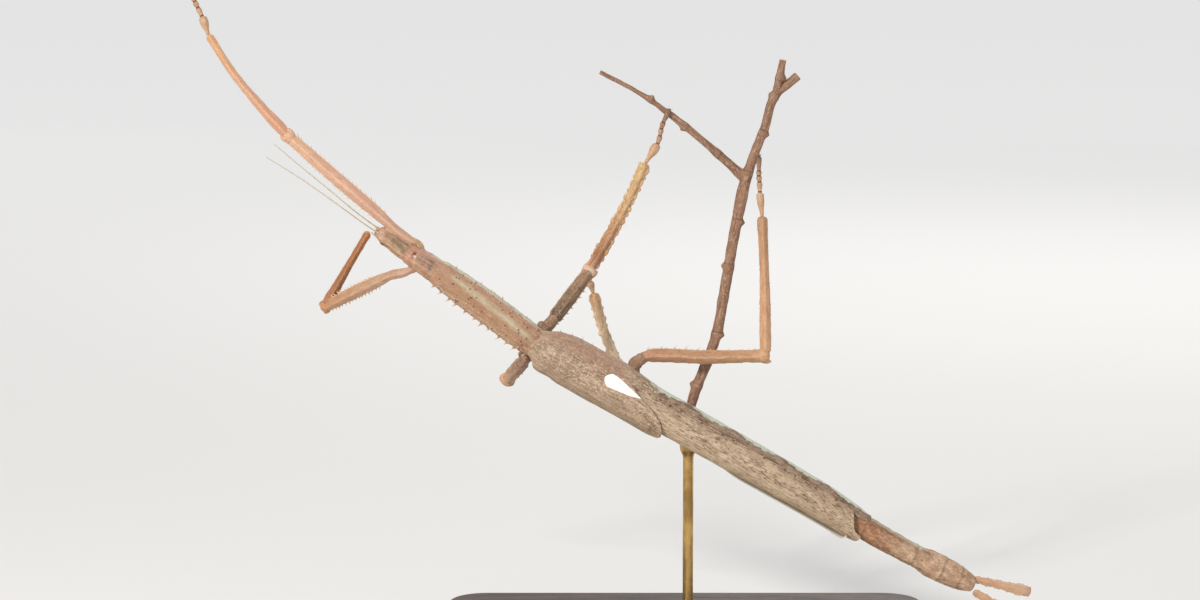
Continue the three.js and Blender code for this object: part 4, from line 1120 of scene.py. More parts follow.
@dataclass(frozen=True)
class Teeth:
    """A row of small teeth on a limb's edge: which edge, from and to, how many, their height and radius."""

    edge: int
    start: float
    end: float
    count: int
    height: float = 1.1
    radius: float = 0.55
    tone: Colour = paint(224, 192, 154)
    dark: float = 0.0  # how dark the teeth are
    uneven: float = 0.2
    lobed: bool = False  # low rounded lobes instead of pointed teeth


@dataclass(frozen=True)
class Leg:
    """One leg: coxa and femur as one limb, tibia and foot, a knee between them, rows of teeth and claws."""

    name: str
    coxa: Points
    femur: Points
    tibia: Points
    foot: Points
    thigh: Gradient
    shin: Gradient
    femur_teeth: tuple[Teeth, ...] = ()
    tibia_teeth: tuple[Teeth, ...] = ()
    thigh_blot: float = 0.4
    shin_blot: float = 0.3
    shift: float = 0.0
    long: bool = False  # a foreleg's femur is thin and bent where it passes the head
    heel: float = 1.15  # half width of the first foot segment
    thick: float = 1.15  # how much wider than usual its femur and tibia are
    knob: float = 0.0  # radius of the trochanter, where it stands out
    ankle: Gradient = shades(
        (0, 212, 168, 126), (0.35, 204, 164, 130), (0.75, 176, 138, 110), (1, 112, 84, 62))

    def upper(self) -> Limb:
        """Coxa, trochanter and femur in one: the coxa's widths come first, then the femur's."""
        points = (*self.coxa, *self.femur)
        root = Path((*self.coxa, self.femur[0])).length / Path(points).length
        pairs = ((0, 1.6), (0.07, 1.55), (0.12, 1.9), (0.5, 1.95), (0.85, 1.8), (1, 1.9))
        hip, neck = 2.3 * self.thick, 0.68
        if self.long:
            pairs = ((0, 1.35), (0.07, 1.5), (0.14, 1.45), (0.25, 1.75), (0.5, 2.0), (0.85, 1.85), (1, 1.75))
            hip, neck = 1.5, 0.75
        coxa = ((0.0, hip * 0.8), (root * 0.6, hip), (root * 0.95, hip * neck))
        femur = tuple((root + (1 - root) * (0.03 + at * 0.97), half * self.thick) for at, half in pairs)
        return Limb(points, Profile(coxa + femur), 0.8, 0.2, 0.45, 24)

    def lower(self) -> Limb:
        """The tibia, from inside the knee to the ankle."""
        pairs = ((0, 1.0), (0.08, 1.6), (0.4, 1.5), (0.6, 1.3), (0.85, 1.35), (0.96, 1.5), (1, 1.2))
        if self.long:
            pairs = ((0, 1.2), (0.08, 1.75), (0.3, 1.5), (0.6, 1.2), (0.9, 1.15), (0.97, 1.25), (1, 1.05))
        width = Profile(tuple((at, half * self.thick) for at, half in pairs))
        return Limb((self.femur[-1], *self.tibia), width, 0.78, 0.22, 0.45, 24)

    def joints(self) -> Array:
        """Places of the foot's joints along it, in mm."""
        points = np.array((self.tibia[-1], *self.foot))
        return np.concatenate([[0], np.cumsum(np.linalg.norm(np.diff(points, axis=0), axis=1))])

    def sole(self) -> Limb:
        """The foot: five segments, each flared at its far end."""
        pairs = [(0.0, 0.6)]
        reached = self.joints() / self.joints()[-1]
        for k, (start, end) in enumerate(zip(reached[:-1], reached[1:])):
            first = 0.85 if k else self.heel
            span = end - start
            pairs += [(start + span * 0.15, 0.62), (start + span * 0.7, first),
                      (start + span * 0.9, first * 0.92), (end - span * 0.03, 0.6)]
        return Limb((self.tibia[-1], *self.foot), Profile(tuple(pairs)), 0.8, 0.12, 0.18, 18, 0.35)

    def foot_shell(self, sole: Limb) -> Shell:
        """The foot's surface, with a dark ring at each joint."""
        shell = sole.shell(self.ankle, 0.03, self.shift + 120, blot=0.45)
        along = shell.marks["grain"][:, :1] - self.shift - 120
        shell.marks["dots"] = hump(along, self.joints()[None, 1:5] + 0.1, 0.3).max(1) * 0.9
        return shell

    def row(self, limb: Limb, teeth: Teeth, tones: Gradient) -> Shell:
        """Teeth spread over one edge of a limb, leaning along it, unevenly high, half in its colour."""
        rng = np.random.default_rng(round(100 * abs(self.coxa[0][0])) + teeth.count)
        share = np.linspace(teeth.start, teeth.end, teeth.count)
        share = share + rng.uniform(-0.03, 0.03, teeth.count) * teeth.uneven
        middle, along, across, deep = limb.frame(share * limb.path().length)
        reach = across * teeth.edge
        feet = middle + reach * (limb.width(share) * 0.9)[:, None]
        heights = teeth.height * rng.uniform(0.9 - teeth.uneven, 1.1, teeth.count)
        radii = teeth.radius * rng.uniform(1 - teeth.uneven, 1 + teeth.uneven, teeth.count)
        tone = 0.45 * tones(share) + 0.55 * np.array(teeth.tone)
        if teeth.lobed:
            spread = (radii[:, None], heights[:, None] + 0.15, 0.5 * radii[:, None])
            axes = np.stack([way * size for way, size in zip((along, reach, deep), spread)], 1)
            return ellipsoids(feet, axes, 6, 9, tone=tone, blot=0.4)
        return thorns(feet, reach + along * 0.4, along, heights, radii, 6, 4, tone=tone, dots=teeth.dark)

    def knee(self, limb: Limb) -> Shell:
        """A rounded joint with two small lobes past the femur's end."""
        middle, along, across, deep = limb.frame(np.array([limb.path().length - 0.5]))
        half = float(limb.width(1.0))
        ahead, aside = middle + along * 0.8, across * 0.85 * half
        ball = np.stack([along * 1.9, across * half * 1.15, deep * half * 0.95], 1)
        lobe = np.stack([along * 1.5, across * 0.7, deep], 1)
        centres = np.concatenate([middle, ahead + aside, ahead - aside])
        axes = np.concatenate([ball, lobe, lobe])
        return ellipsoids(centres, axes, tone=self.thigh(np.array(1.0)), blot=0.3)

    def trochanter(self, limb: Limb) -> Shell:
        """The mottled knot between coxa and femur: a long lump and a lower collar beyond it."""
        root = Path((*self.coxa, self.femur[0])).length
        middle, *ways = limb.frame(root + np.array([0.1, 2.2]))
        spread = (np.array([[1.2], [0.75]]), np.array([[0.92], [0.82]]), np.array([[0.85], [0.8]]))
        axes = np.stack([way * size for way, size in zip(ways, spread)], 1) * self.knob
        return ellipsoids(middle, axes, 12, 18, tone=(paint(162, 124, 98), paint(172, 130, 104)), blot=0.8)

    def shell(self) -> Shell:
        """All the leg's flesh."""
        upper, lower, sole = self.upper(), self.lower(), self.sole()
        shells = [
            upper.shell(self.thigh, 0.03, self.shift, blot=self.thigh_blot),
            lower.shell(self.shin, 0.03, self.shift + 70, blot=self.shin_blot),
            self.foot_shell(sole),
            self.knee(upper),
        ]
        if self.knob:
            shells.append(self.trochanter(upper))
        shells += [self.row(upper, teeth, self.thigh) for teeth in self.femur_teeth]
        shells += [self.row(lower, teeth, self.shin) for teeth in self.tibia_teeth]
        middle, along, across, deep = sole.frame(np.array([sole.path().length - 0.1]))
        pad = np.stack([along * 0.5, across * 0.5, deep * 0.35], 1)
        shells.append(ellipsoids(middle + along * 0.3, pad, 8, 10, tone=paint(120, 96, 72)))
        return Shell.joined(shells)

    def claws(self) -> Shell:
        """Two hooked claws spread beyond the last foot segment."""
        sole = self.sole()
        middle, along, across, deep = sole.frame(np.array([sole.path().length - 0.15]))
        aside = across * [[-1.0], [1.0]]
        return thorns(middle + aside * 0.26, along + aside * 0.6, -deep * 1.2 + along * 0.4, np.full(2, 1.45),
                      np.full(2, 0.24), 8, 8, tone=paint(74, 48, 32))


LEGS = (
    Leg("fore_right",
        ((-80.2, -10.6, 125), (-81.9, -12.2, 129.2)),
        ((-82.3, -12.7, 129.4), (-83.9, -13.3, 130.1), (-87.4, -13.5, 132.7), (-92.8, -12.5, 137.4),
         (-106.9, -10.5, 149.3), (-120.3, -9, 161)),
        ((-126.9, -8.2, 168), (-136.5, -6.4, 179.3), (-144.1, -5, 190.9)),
        ((-146.1, -4, 196.5), (-147.3, -3.6, 198.9), (-148.2, -3.2, 200.7), (-148.8, -3, 202.1),
         (-150.3, -2, 206.3)),
        shades((0, 206, 174, 132), (0.1, 206, 170, 134), (0.16, 198, 154, 130), (0.6, 214, 167, 141),
               (1, 218, 174, 142)),
        shades((0, 206, 150, 120), (0.5, 208, 158, 126), (1, 212, 160, 112)),
        (Teeth(1, 0.36, 0.96, 22), Teeth(-1, 0.34, 0.96, 20)), (),
        0.25, 0.15, 0.0, True, 1.35, 1.0),
    Leg("fore_left",
        ((-82, -10, 122.2), (-84.2, -8.4, 120.4)),
        ((-84.6, -8.2, 120.2), (-86.5, -6.8, 119.4), (-90, -3.6, 118.3), (-95, 2, 115.5), (-113, 29, 103.9)),
        ((-104.6, 15.5, 118.4), (-97.6, 4, 130.2)),
        ((-98.2, 8.6, 129.3), (-98.5, 10.8, 128.9), (-98.7, 12.4, 128.6), (-98.9, 13.9, 128.3),
         (-99.4, 17.2, 127.6)),
        shades((0, 198, 154, 130), (0.3, 200, 158, 126), (1, 196, 142, 98)),
        shades((0, 178, 122, 84), (0.4, 164, 104, 58), (1, 178, 108, 58)),
        (Teeth(1, 0.36, 0.94, 15), Teeth(-1, 0.36, 0.9, 14)), (),
        0.35, 0.2, 31.0, True, thick=1.0),
    Leg("middle_right",
        ((-45.7, -9.8, 101.2), (-42.8, -8.4, 103.4)),
        ((-42.3, -8.1, 103.9), (-30.1, 14, 117.4)),
        ((-23, 9.5, 130.5), (-18.5, 6.2, 139.4), (-13.2, 2, 151.8)),
        ((-9.6, 0.3, 157.9), (-8.9, -0.4, 160.3), (-8.5, -0.9, 162.5), (-7.9, -1.3, 164.4),
         (-6.2, -1.7, 168)),
        shades((0, 150, 116, 90), (0.2, 124, 100, 72), (0.75, 160, 124, 90), (0.93, 186, 146, 116),
               (1, 228, 192, 166)),
        shades((0, 216, 172, 142), (0.15, 178, 122, 84), (0.4, 204, 156, 114), (0.6, 214, 172, 122),
               (1, 222, 184, 132)),
        (Teeth(-1, 0.2, 0.9, 9), Teeth(1, 0.25, 0.95, 9, 0.5)),
        (Teeth(1, 0.05, 0.97, 17, 0.55, 1.15, SAND, 0.0, 0.45, True),
         Teeth(-1, 0.07, 0.95, 16, 0.55, 1.15, SAND, 0.0, 0.45, True)),
        0.95, 0.75, 57.0, heel=1.4, knob=2.05),
    Leg("middle_left",
        ((-48.8, -11.5, 95.8), (-49.6, -8.6, 93.6)),
        ((-49.7, -8.2, 93.3), (-55.8, 16, 82.9)),
        ((-55.7, 34, 81.1), (-55.4, 52, 79.6)),
        ((-55.3, 58, 79.1), (-55.3, 60.2, 79), (-55.2, 62.1, 78.9), (-55.2, 63.9, 78.8), (-55.1, 67.2, 78.5)),
        # Painted shade: the femur darkens towards the body, whose shadow falls there.
        shades((0, 150, 112, 84), (0.5, 178, 134, 98), (1, 214, 166, 130)),
        shades((0, 204, 156, 114), (1, 200, 158, 126)),
        (Teeth(1, 0.3, 0.85, 5, 0.6), Teeth(-1, 0.3, 0.9, 6, 0.4)),
        (Teeth(1, 0.08, 0.95, 9, 0.3), Teeth(-1, 0.08, 0.95, 9, 0.3)),
        0.8, 0.5, 83.0),
    Leg("hind_right",
        ((-18.8, -9.6, 86.2), (-16.7, -7.8, 91)),
        ((-16.3, -7.6, 91.8), (-13.2, -7.4, 93.9), (-9.2, -7.3, 94.3), (4.8, -6.7, 93.7), (23.1, -6, 94)),
        ((22.8, -5, 115), (21.9, -4, 136.3)),
        ((21.2, -3.5, 143.5), (21.1, -3, 146.5), (20.9, -3, 148.3), (20.9, -2.8, 149.8), (20.9, -2.2, 154.2)),
        shades((0, 136, 102, 82), (0.15, 148, 108, 86), (0.19, 184, 132, 104), (0.35, 190, 142, 106),
               (0.9, 196, 148, 108), (1, 210, 164, 124)),
        shades((0, 208, 160, 120), (0.5, 204, 154, 114), (1, 182, 138, 102)),
        (Teeth(1, 0.24, 0.55, 5, 1.6, 0.42, CREAM), Teeth(1, 0.3, 0.97, 17, 0.7, 0.4),
         Teeth(-1, 0.5, 0.95, 5, 0.5, 0.28, UMBER, 0.6)),
        (Teeth(1, 0.06, 0.9, 10, 0.4, 0.26, UMBER, 0.8), Teeth(-1, 0.06, 0.9, 12, 0.45, 0.26, UMBER, 0.8)),
        0.4, 0.35, 109.0, thick=1.1, knob=2.3),
    Leg("hind_left",
        ((-20.7, -11, 79.9), (-19.9, -7.6, 78.2)),
        ((-19.8, -7.2, 78), (-14.6, 24, 68.9)),
        ((-23.4, 23.1, 91.2), (-25.9, 22.8, 97.5), (-29.1, 21.4, 109.4)),
        ((-30.1, 20.4, 113.2), (-30.1, 19.6, 115), (-29.8, 19.2, 116.4), (-29.2, 18.8, 117.8),
         (-27.4, 18, 120.8)),
        shades((0, 150, 112, 84), (0.5, 190, 148, 110), (1, 234, 206, 164)),
        # Painted light: the tibia's tone is raised towards white to make up for the shade it lies in at the
        # back.
        shades((0, 246, 220, 184), (0.5, 250, 224, 188), (0.85, 240, 206, 166), (1, 204, 152, 104)),
        (Teeth(1, 0.2, 0.9, 10, 0.9), Teeth(-1, 0.3, 0.9, 9, 0.5)),
        (Teeth(1, 0.1, 0.95, 14, 0.5, 0.8, CREAM, 0.0, 0.4, True),
         Teeth(-1, 0.1, 0.95, 13, 0.45, 0.8, CREAM, 0.0, 0.4, True)),
        0.6, 0.8, 135.0),
)


@dataclass(frozen=True)
class Skin:
    """The one skin over the head, trunk and legs, and the claws that grow from it."""

    trunk: Trunk = Trunk()
    legs: tuple[Leg, ...] = LEGS
    hide: Hide = Hide("skin_hide", blotch=0.6, depth=0.08)
    horn: Hide = Hide("claw_horn", blotch=0.2, fibre=0.15, speck=0.0, roughness=0.35, depth=0.02, coat=0.3)

    def nodes(self) -> tuple[str, ...]:
        """The solids that the skin replaces."""
        trunk = ("head", "palp_left", "palp_right", "prothorax", "mesothorax", "metathorax", "abdomen_front",
                 "abdomen_middle", "abdomen_rear", "abdomen_tip")
        parts = ("coxa", "femur", "tibia", "tarsus")
        return trunk + tuple(f"{leg.name}_{part}" for leg in self.legs for part in parts)

    def build(self, effects: Effects) -> None:
        """Places the skin and the claws."""
        flesh = [self.trunk.shell(), self.trunk.thorns(), self.trunk.mouth()]
        flesh += [leg.shell() for leg in self.legs]
        place("skin", Shell.joined(flesh), self.hide.material(effects), Slot.BODY, *self.nodes())
        claws = Shell.joined([leg.claws() for leg in self.legs])
        place("claws", claws, self.horn.material(effects), Slot.LEG)


# ---- Eyes, feelers and tail plates ----


@dataclass(frozen=True)
class Eyes:
    """The two compound eyes, and the three simple eyes between them."""

    trunk: Trunk = Trunk()
    gloss: EyeGloss = EyeGloss()
    sink: float = 0.3

    def globe(self, side: int) -> Shell:
        """A ball a little longer than high, darker where it faces outwards."""
        trunk = self.trunk
        at = np.array(trunk.eye_at)
        width, height = trunk.width(at) - self.sink, trunk.height(at) - self.sink
        centre = BODY.surface(at, np.array(side * trunk.eye_angle), width, height, trunk.lift(at))
        middle, tail, _, _ = BODY.frame(at)
        out = unit(centre - middle)
        axes = np.stack([tail * 1.12, out, np.cross(out, tail) * 0.92]) * trunk.eye_radius
        shell = ellipsoids(centre[None], axes[None], 26, 32)
        away = (shell.points - centre) / trunk.eye_radius
        shell.marks["middle"] = np.clip(away @ out, 0, 1) ** 1.5
        return shell

    def beads(self) -> Shell:
        """Three tiny domes on the forehead."""
        trunk = self.trunk
        at, angle = np.array([[2.0, 2.8, 2.8], [0.0, -17.0, 17.0]])
        centres = BODY.surface(at, angle, trunk.width(at) + 0.05, trunk.height(at) + 0.05, trunk.lift(at))
        return ellipsoids(centres, np.broadcast_to(np.eye(3) * 0.15, (3, 3, 3)), 8, 12, middle=0.2)

    def build(self) -> None:
        """Places the eyes."""
        gloss = self.gloss.material()
        place("left_eye", self.globe(-1), gloss, Slot.EYE, "eye_left")
        place("right_eye", self.globe(1), gloss, Slot.EYE, "eye_right")
        place("forehead_eyes", self.beads(), gloss, Slot.EYE)


@dataclass(frozen=True)
class Feelers:
    """The two antennae: a stout first joint, a short second one, then a thread of many joints."""

    right: Points = ((-92.4, -12.6, 132.9), (-99.1, -12, 137.7), (-107.7, -12, 144.9), (-116.6, -12, 152.3),
                                (-124.3, -12, 158.9))
    left: Points = ((-91.6, -14.6, 131.4), (-96.3, -14.6, 134.4), (-107.5, -15.2, 142.7),
                               (-116.4, -15.4, 149), (-126.4, -15.4, 155.3))
    joint: float = 1.9  # length of one joint of the thread, in mm
    thread_from: float = 4.2  # where the thread's joints begin
    tone: Gradient = shades(
        (0, 190, 150, 122), (0.08, 184, 164, 140), (0.5, 200, 186, 156), (1, 192, 178, 148))
    hide: Hide = Hide("feeler_hide", blotch=0.3, fibre=0.2, speck=0.2, roughness=0.5, depth=0.02)

    def thread(self, points: Points) -> Shell:
        """A limb that narrows to a thread and swells slightly at the end of every joint."""
        length = Path(points).length
        scale = ((0, 0.55), (1.5, 0.55), (1.9, 0.34), (3.0, 0.34), (3.4, 0.22), (length * 0.5, 0.18),
                 (length, 0.11))
        x, y, z = points[0]
        width = Profile(tuple((at / length, half) for at, half in scale))
        limb = Limb(((x + 0.8, y, z - 0.6), *points), width, 1.0, 0.0, 0.16, 10, 0.3)
        shell = limb.shell(self.tone, 0.0, blot=0.2)
        along = shell.marks["grain"][:, 0]
        middle, _ = limb.path().at(along)
        beat, jointed = (along / self.joint) % 1, along > self.thread_from
        swelling = np.where(jointed, 0.12 * hump(beat, 0.9, 0.12), 0.0)
        shell.points = middle + (shell.points - middle) * (1 + swelling)[:, None]
        shell.marks["dots"] = np.where(jointed, 0.6 * hump(beat, 0.98, 0.06), 0.0)
        return shell

    def build(self, effects: Effects) -> None:
        """Places both antennae."""
        hide = self.hide.material(effects)
        place("right_antenna", self.thread(self.right), hide, Slot.FEELER, "antenna_right")
        place("left_antenna", self.thread(self.left), hide, Slot.FEELER, "antenna_left")


@dataclass(frozen=True)
class TailPlates:
    """The two leaf-shaped cerci and the keeled egg plate under the tail end."""

    right: Points = ((86.6, -12.4, 26.3), (94.6, -12, 24.4), (104, -12, 22.1))
    left: Points = ((86.2, -14.2, 22.9), (93.2, -14.5, 18.9), (102.1, -14.5, 14.6))
    width: Profile = profile(0, 0.9, 0.15, 1.25, 0.5, 1.35, 0.85, 1.8, 0.96, 1.5, 1, 1.2)
    tone: Gradient = shades(
        (0, 204, 160, 124), (0.3, 206, 164, 130), (0.85, 208, 170, 138), (1, 186, 146, 116))
    hide: Hide = Hide("cercus_hide", blotch=0.35, fibre=0.3, speck=0.15, roughness=0.55, depth=0.05)
    plate_hide: Hide = Hide("plate_hide", blotch=0.6, fibre=0.4, speck=0.5, depth=0.08)
    plate_span: tuple[float, float] = (193.0, 210.5)
    plate_keel: Profile = profile(193, 0.4, 195, 0.8, 202, 1.6, 208, 1.5, 210.5, 0.8)

    def cercus(self, points: Points, shift: float) -> Shell:
        """A flat blade with a midrib and wavy edges."""
        limb = Limb(points, self.width, 0.3, 0.0, 0.3, 28, 0.6)
        shell = limb.shell(self.tone, 0.05, shift, blot=0.4)
        along, wide, thick = (shell.marks["grain"] - [shift, 0, 0]).T
        _, _, across, deep = limb.frame(along)
        wave = 0.13 * np.sin(along * 1.9) + 0.08 * np.sin(along * 4.7 + 1)
        shell.points += across * (np.sign(wide) * step(np.abs(wide), 0.5, 1.2) * wave)[:, None]
        rib = hump(wide, 0, 0.22) * 0.16 * np.sign(thick)
        shell.points += deep * (rib * window(along, 0.5, limb.path().length - 1.5, 0.5))[:, None]
        shell.marks["edge"] = step(np.abs(wide), 0.9, 1.5) * 0.8
        return shell

    def plate(self) -> Shell:
        """Half a gutter under the tail: two grids round the belly, the outer one raised into a keel."""
        trunk = Trunk()
        at = np.linspace(*self.plate_span, 60)[:, None]
        share = np.linspace(-1, 1, 41)[None, :]
        point = np.sqrt(np.clip(1 - step(at, 207.5, 210.9) ** 2 * 0.85, 0.05, 1))
        angle = 180 + 66 * share * point
        keel = self.plate_keel(at) * np.exp(-((share / 0.45) ** 2)) + 0.28
        wide, low = trunk.width(at) + 0.12 + keel * 0.5, trunk.height(at) + 0.12 + keel
        thick = 0.08 + 0.2 * (1 - np.abs(share) ** 6)
        outer = BODY.surface(at, angle, wide + thick, low + thick)
        inner = BODY.surface(at, angle, wide - 0.1, low - 0.12)
        tone = layered(paint(170, 128, 100), (paint(206, 172, 140), np.abs(share) ** 4))
        grain = together(at, 4 * np.radians(angle), 0.0)
        return Shell.wall(outer, inner, {"grain": grain, "tone": tone, "blot": 0.8})

    def build(self, effects: Effects) -> None:
        """Places the cerci and the egg plate."""
        hide = self.hide.material(effects)
        place("right_cercus", self.cercus(self.right, 0.0), hide, Slot.CERCUS, "cercus_right")
        place("left_cercus", self.cercus(self.left, 40.0), hide, Slot.CERCUS, "cercus_left")
        place("egg_plate", self.plate(), self.plate_hide.material(effects), Slot.BODY, "operculum")


# ---- Wings ----


@dataclass(frozen=True)
class WingSheet:
    """A curved sheet over the body, between an inner edge near the middle of the back and an outer edge."""

    seed: int
    span: tuple[float, float]
    width: Profile
    height: Profile
    inner: Profile
    outer: Profile
    thickness: float
    spacing: float
    columns: int
    veins: int
    vein_height: float
    tip: float  # length over which the far end rounds off
    slant: float = 0.0  # how much earlier the sheet ends at its inner edge
    flare: float = 0.0  # how far the outer rim bends away from the body

    def grid(self) -> tuple[Array, Array, Array]:
        """Places, shares from the inner edge to the outer one, and angles."""
        start, far = self.span
        share = np.linspace(0, 1, self.columns)[None, :]
        t = np.linspace(0, 1, round((far - start) / self.spacing))[:, None]
        end = far - self.slant * (1 - share) ** 1.4
        at = start + (end - start) * (1 - (1 - t) ** 1.15)
        inner, outer = self.inner(at), self.outer(at)
        left = np.clip((end - at) / self.tip, 0, 1)
        return at, share, (inner + outer) / 2 + (outer - inner) * (share - 0.5) * rounded(left, 0.02)

    def relief(self, at: Array, share: Array, arc: Array) -> Array:
        """Height of the veins: narrow ridges that start together at the wing's root and wander a little."""
        grain = together(at * 0.35, arc, 0.0)
        wander = 0.12 * swell(grain, 14.0, self.seed)
        rank = (share + 0.02 * wander) * self.veins + wander
        vein = np.abs(rank % 1 - 0.5) * 2
        ridge = np.exp(-(((1 - vein) / 0.28) ** 2)) * step(share, 0.0, 0.04) * (1 - step(share, 0.96, 1))
        return self.vein_height * ridge + 0.05 * swell(grain * [1.5, 1, 1], 3.0, self.seed + 1)

    def shell(self, **marks: object) -> Shell:
        """The outer side with its veins, and an inner side that meets it at a rolled rim, both marked."""
        at, share, angle = self.grid()
        bend = self.flare * step(share, 0.93, 1) * step(at, 116, 134)
        width, height = self.width(at) + bend, self.height(at) + bend
        arc = np.radians(angle) * (width + height) / 2
        reach = np.abs(arc[:, -1:] - arc[:, :1])
        from_ends = np.minimum(at - self.span[0], self.span[1] - at) + 0.05
        to_rim = np.minimum(np.minimum(share, 1 - share) * reach, from_ends)
        rolled = rounded(np.clip(to_rim / 0.35, 0, 1), 0.03)
        relief = self.relief(at, share, arc) * rolled
        drop = self.thickness * 0.5 * (1 - rolled)
        outer = BODY.surface(at, angle, width + relief - drop, height + relief - drop)
        depth = self.thickness * (0.1 + 0.9 * rolled) + drop - relief * 0.4
        inner = BODY.surface(at, angle, width - depth, height - depth)
        edge = (1 - step(to_rim, 0.1, 0.5)) * 0.8
        return Shell.wall(outer, inner, {"grain": together(at, arc, 7.0 * self.seed), "edge": edge, **marks})


HIND_SPAN = (64.0, 172.6)
HIND_WIDTH = profile(64, 5.1, 85, 6.3, 101, 6.25, 130, 5.95, 155, 5.65, 171.5, 5.35)
HIND_HEIGHT = profile(64, 4.7, 85, 5.45, 101, 5.35, 130, 5.15, 155, 4.95, 171.5, 4.75)
HIND_INNER = profile(64, 4, 75, 12, 100, 22, 160, 22, 171.5, 14)


@dataclass(frozen=True)
class Wings:
    """The two leathery wing cases, the two folded hind wings, and the fans under them."""

    left_case: WingSheet = WingSheet(
        1, (55.5, 104.5),
        profile(55.5, 3.9, 58, 4.5, 60, 5.4, 61.6, 6.8, 63.2, 6.95, 65.5, 6.8, 70, 7.3, 85, 7.7, 98, 8,
                104.5, 7.9),
        profile(55.5, 3.4, 58, 4.1, 60, 4.7, 63, 5.8, 70, 6.5, 85, 6.8, 104.5, 6.6),
        profile(55.5, 4, 61, 14, 68, 18.5, 85, 19, 88, 14.5, 92, 0, 94, -6, 97.2, -15, 101.1, -30, 103.3, -47,
                104.3, -62, 104.5, -69),
        profile(55.5, -58, 59, -84, 62, -98, 66, -105, 92, -108, 98, -108, 100.5, -105, 102.6, -97,
                103.8, -87, 104.3, -79, 104.5, -72),
        0.45, 0.32, 76, 8, 0.12, 0.5)
    right_case: WingSheet = WingSheet(
        2, (55.5, 101.5),
        profile(55.5, 3.9, 58, 4.6, 60, 5.4, 63, 6.9, 70, 8, 84, 7.85, 90, 7.1, 95, 6.45, 98.5, 5.95,
                101.5, 5.6),
        profile(55.5, 3.2, 58, 3.7, 60, 4.2, 63, 5.2, 70, 5.95, 84, 6.25, 90, 6.05, 95, 5.45, 98.5, 5.0,
                101.5, 4.7),
        profile(55.5, 0, 61, 7, 68, 11, 84, 8, 90, 6, 94, 14, 98, 34, 101.5, 60),
        profile(55.5, 58, 59, 80, 66, 92, 92, 92, 98, 92, 101.5, 84),
        0.3, 0.32, 60, 7, 0.12, 1.4)
    left_hind: WingSheet = WingSheet(
        3, HIND_SPAN, HIND_WIDTH, HIND_HEIGHT, HIND_INNER,
        profile(64, -20, 75, -60, 85, -88, 100, -92, 125, -106, 160, -110, 168, -108, 171.5, -98),
        0.4, 0.55, 84, 11, 0.11, 1.6, 5.0)
    right_hind: WingSheet = WingSheet(
        4, HIND_SPAN, profile(64, 4.95, 85, 6.15, 101, 6.1, 130, 5.8, 155, 5.4, 165, 4.9, 171.5, 4.1),
        profile(64, 4.4, 85, 5.15, 101, 5.05, 130, 4.85, 155, 4.6, 165, 4.1, 171.5, 3.3),
        HIND_INNER.moved(-4),
        profile(64, 23.2, 75, 63.2, 85, 91.2, 100, 95.2, 125, 109.2, 160, 113.2, 168, 111.2, 171.5, 101.2),
        0.35, 0.55, 60, 8, 0.06, 4.0)
    under: float = 0.9  # how far a fan lies under its hind wing
    spots: tuple[float, ...] = (60.5, 63.0, 66.8, 70.2, 73.6)  # where the right case's spines stand
    case_hide: Hide = Hide("wing_case_hide", blotch=0.5, fibre=0.45, fibre_scale=2.2, speck=0.3, net=1.0,
                           dash=0.5, depth=0.12)
    wing_hide: Hide = Hide("hind_wing_hide", blotch=0.4, blotch_scale=0.5, fibre=0.4, fibre_scale=2.0,
                           speck=0.4, net=0.3, dash=0.75, depth=0.1)
    fan_hide: Hide = Hide("wing_fan_hide", blotch=0.2, fibre=0.3, speck=0.1, net=0.4, dash=0.1,
                          roughness=0.45, depth=0.04)
    bark: Colour = paint(186, 156, 128)
    sand: Colour = paint(172, 146, 118)
    cocoa: Colour = paint(126, 94, 72)
    rose: Colour = paint(172, 132, 108)
    moss: Colour = paint(112, 90, 50)
    cream: Colour = paint(206, 182, 152)
    mint: Colour = paint(204, 210, 190)

    @staticmethod
    def patch(at: Array, angle: Array) -> Array:
        """The white patch by the left case's inner edge, round in front, pointed behind, 0.5 on its rim."""
        low = np.interp(at, (80, 84, 90, 93.8), (-20, -18, -14, -7))
        high = np.interp(at, (80, 83, 85.5, 90, 93.8), (15, 14, 11, 1, -7))
        half = np.maximum((high - low) / 2, 0.01) * 0.125
        aside = np.abs(angle - (high + low) / 2) * 0.125
        front = 81.0 + 1.3 * (aside / 1.8) ** 2
        inside = np.minimum(np.minimum(half - aside, at - front), 93.8 - at)
        return np.clip(0.5 + inside / 1.2, 0, 1)

    @staticmethod
    def lens(at: Array, angle: Array) -> Array:
        """Pale lenses along the right side: their inner border swings out to the edge every 16.2 mm."""
        beat = np.abs(np.sin((at - 91.5) * math.pi / 16.2))
        border = 78 - 33 * beat**0.6 + 3 * np.sin(at * 2.1) + 2 * np.sin(at * 4.7)
        return step(angle - border, -3, 3) * step(at, 90.5, 92) * (1 - step(angle, 100, 112))

    def bark_case(self) -> Shell:
        """The left case: grey-brown bark with its white patch."""
        at, share, angle = self.left_case.grid()
        patch, middle = self.patch(at, angle), hump(share, 0.45, 0.22)
        uneven = swell(together(at * 0.5, angle * 0.13, 0.0), 6.0, 31)
        tone = layered(
            self.bark,
            (self.rose, window(at, 70, 84, 3) * (1 - step(share, 0.1, 0.3)) * 0.6),
            (self.cocoa, window(at + 2 * uneven, 58, 74, 3) * middle * 0.35),
            (self.sand, step(share + 0.12 * uneven, 0.45, 0.7)),
            (self.moss, hump(at, 101.2, 1.6) * middle * 0.8))
        crinkle = (1 - 0.75 * step(share + 0.1 * uneven, 0.4, 0.65)) * (patch < 0.2)
        blot = 0.9 - 0.55 * step(share, 0.4, 0.75)
        return self.left_case.shell(tone=tone, blot=blot, crinkle=crinkle, patch=patch)

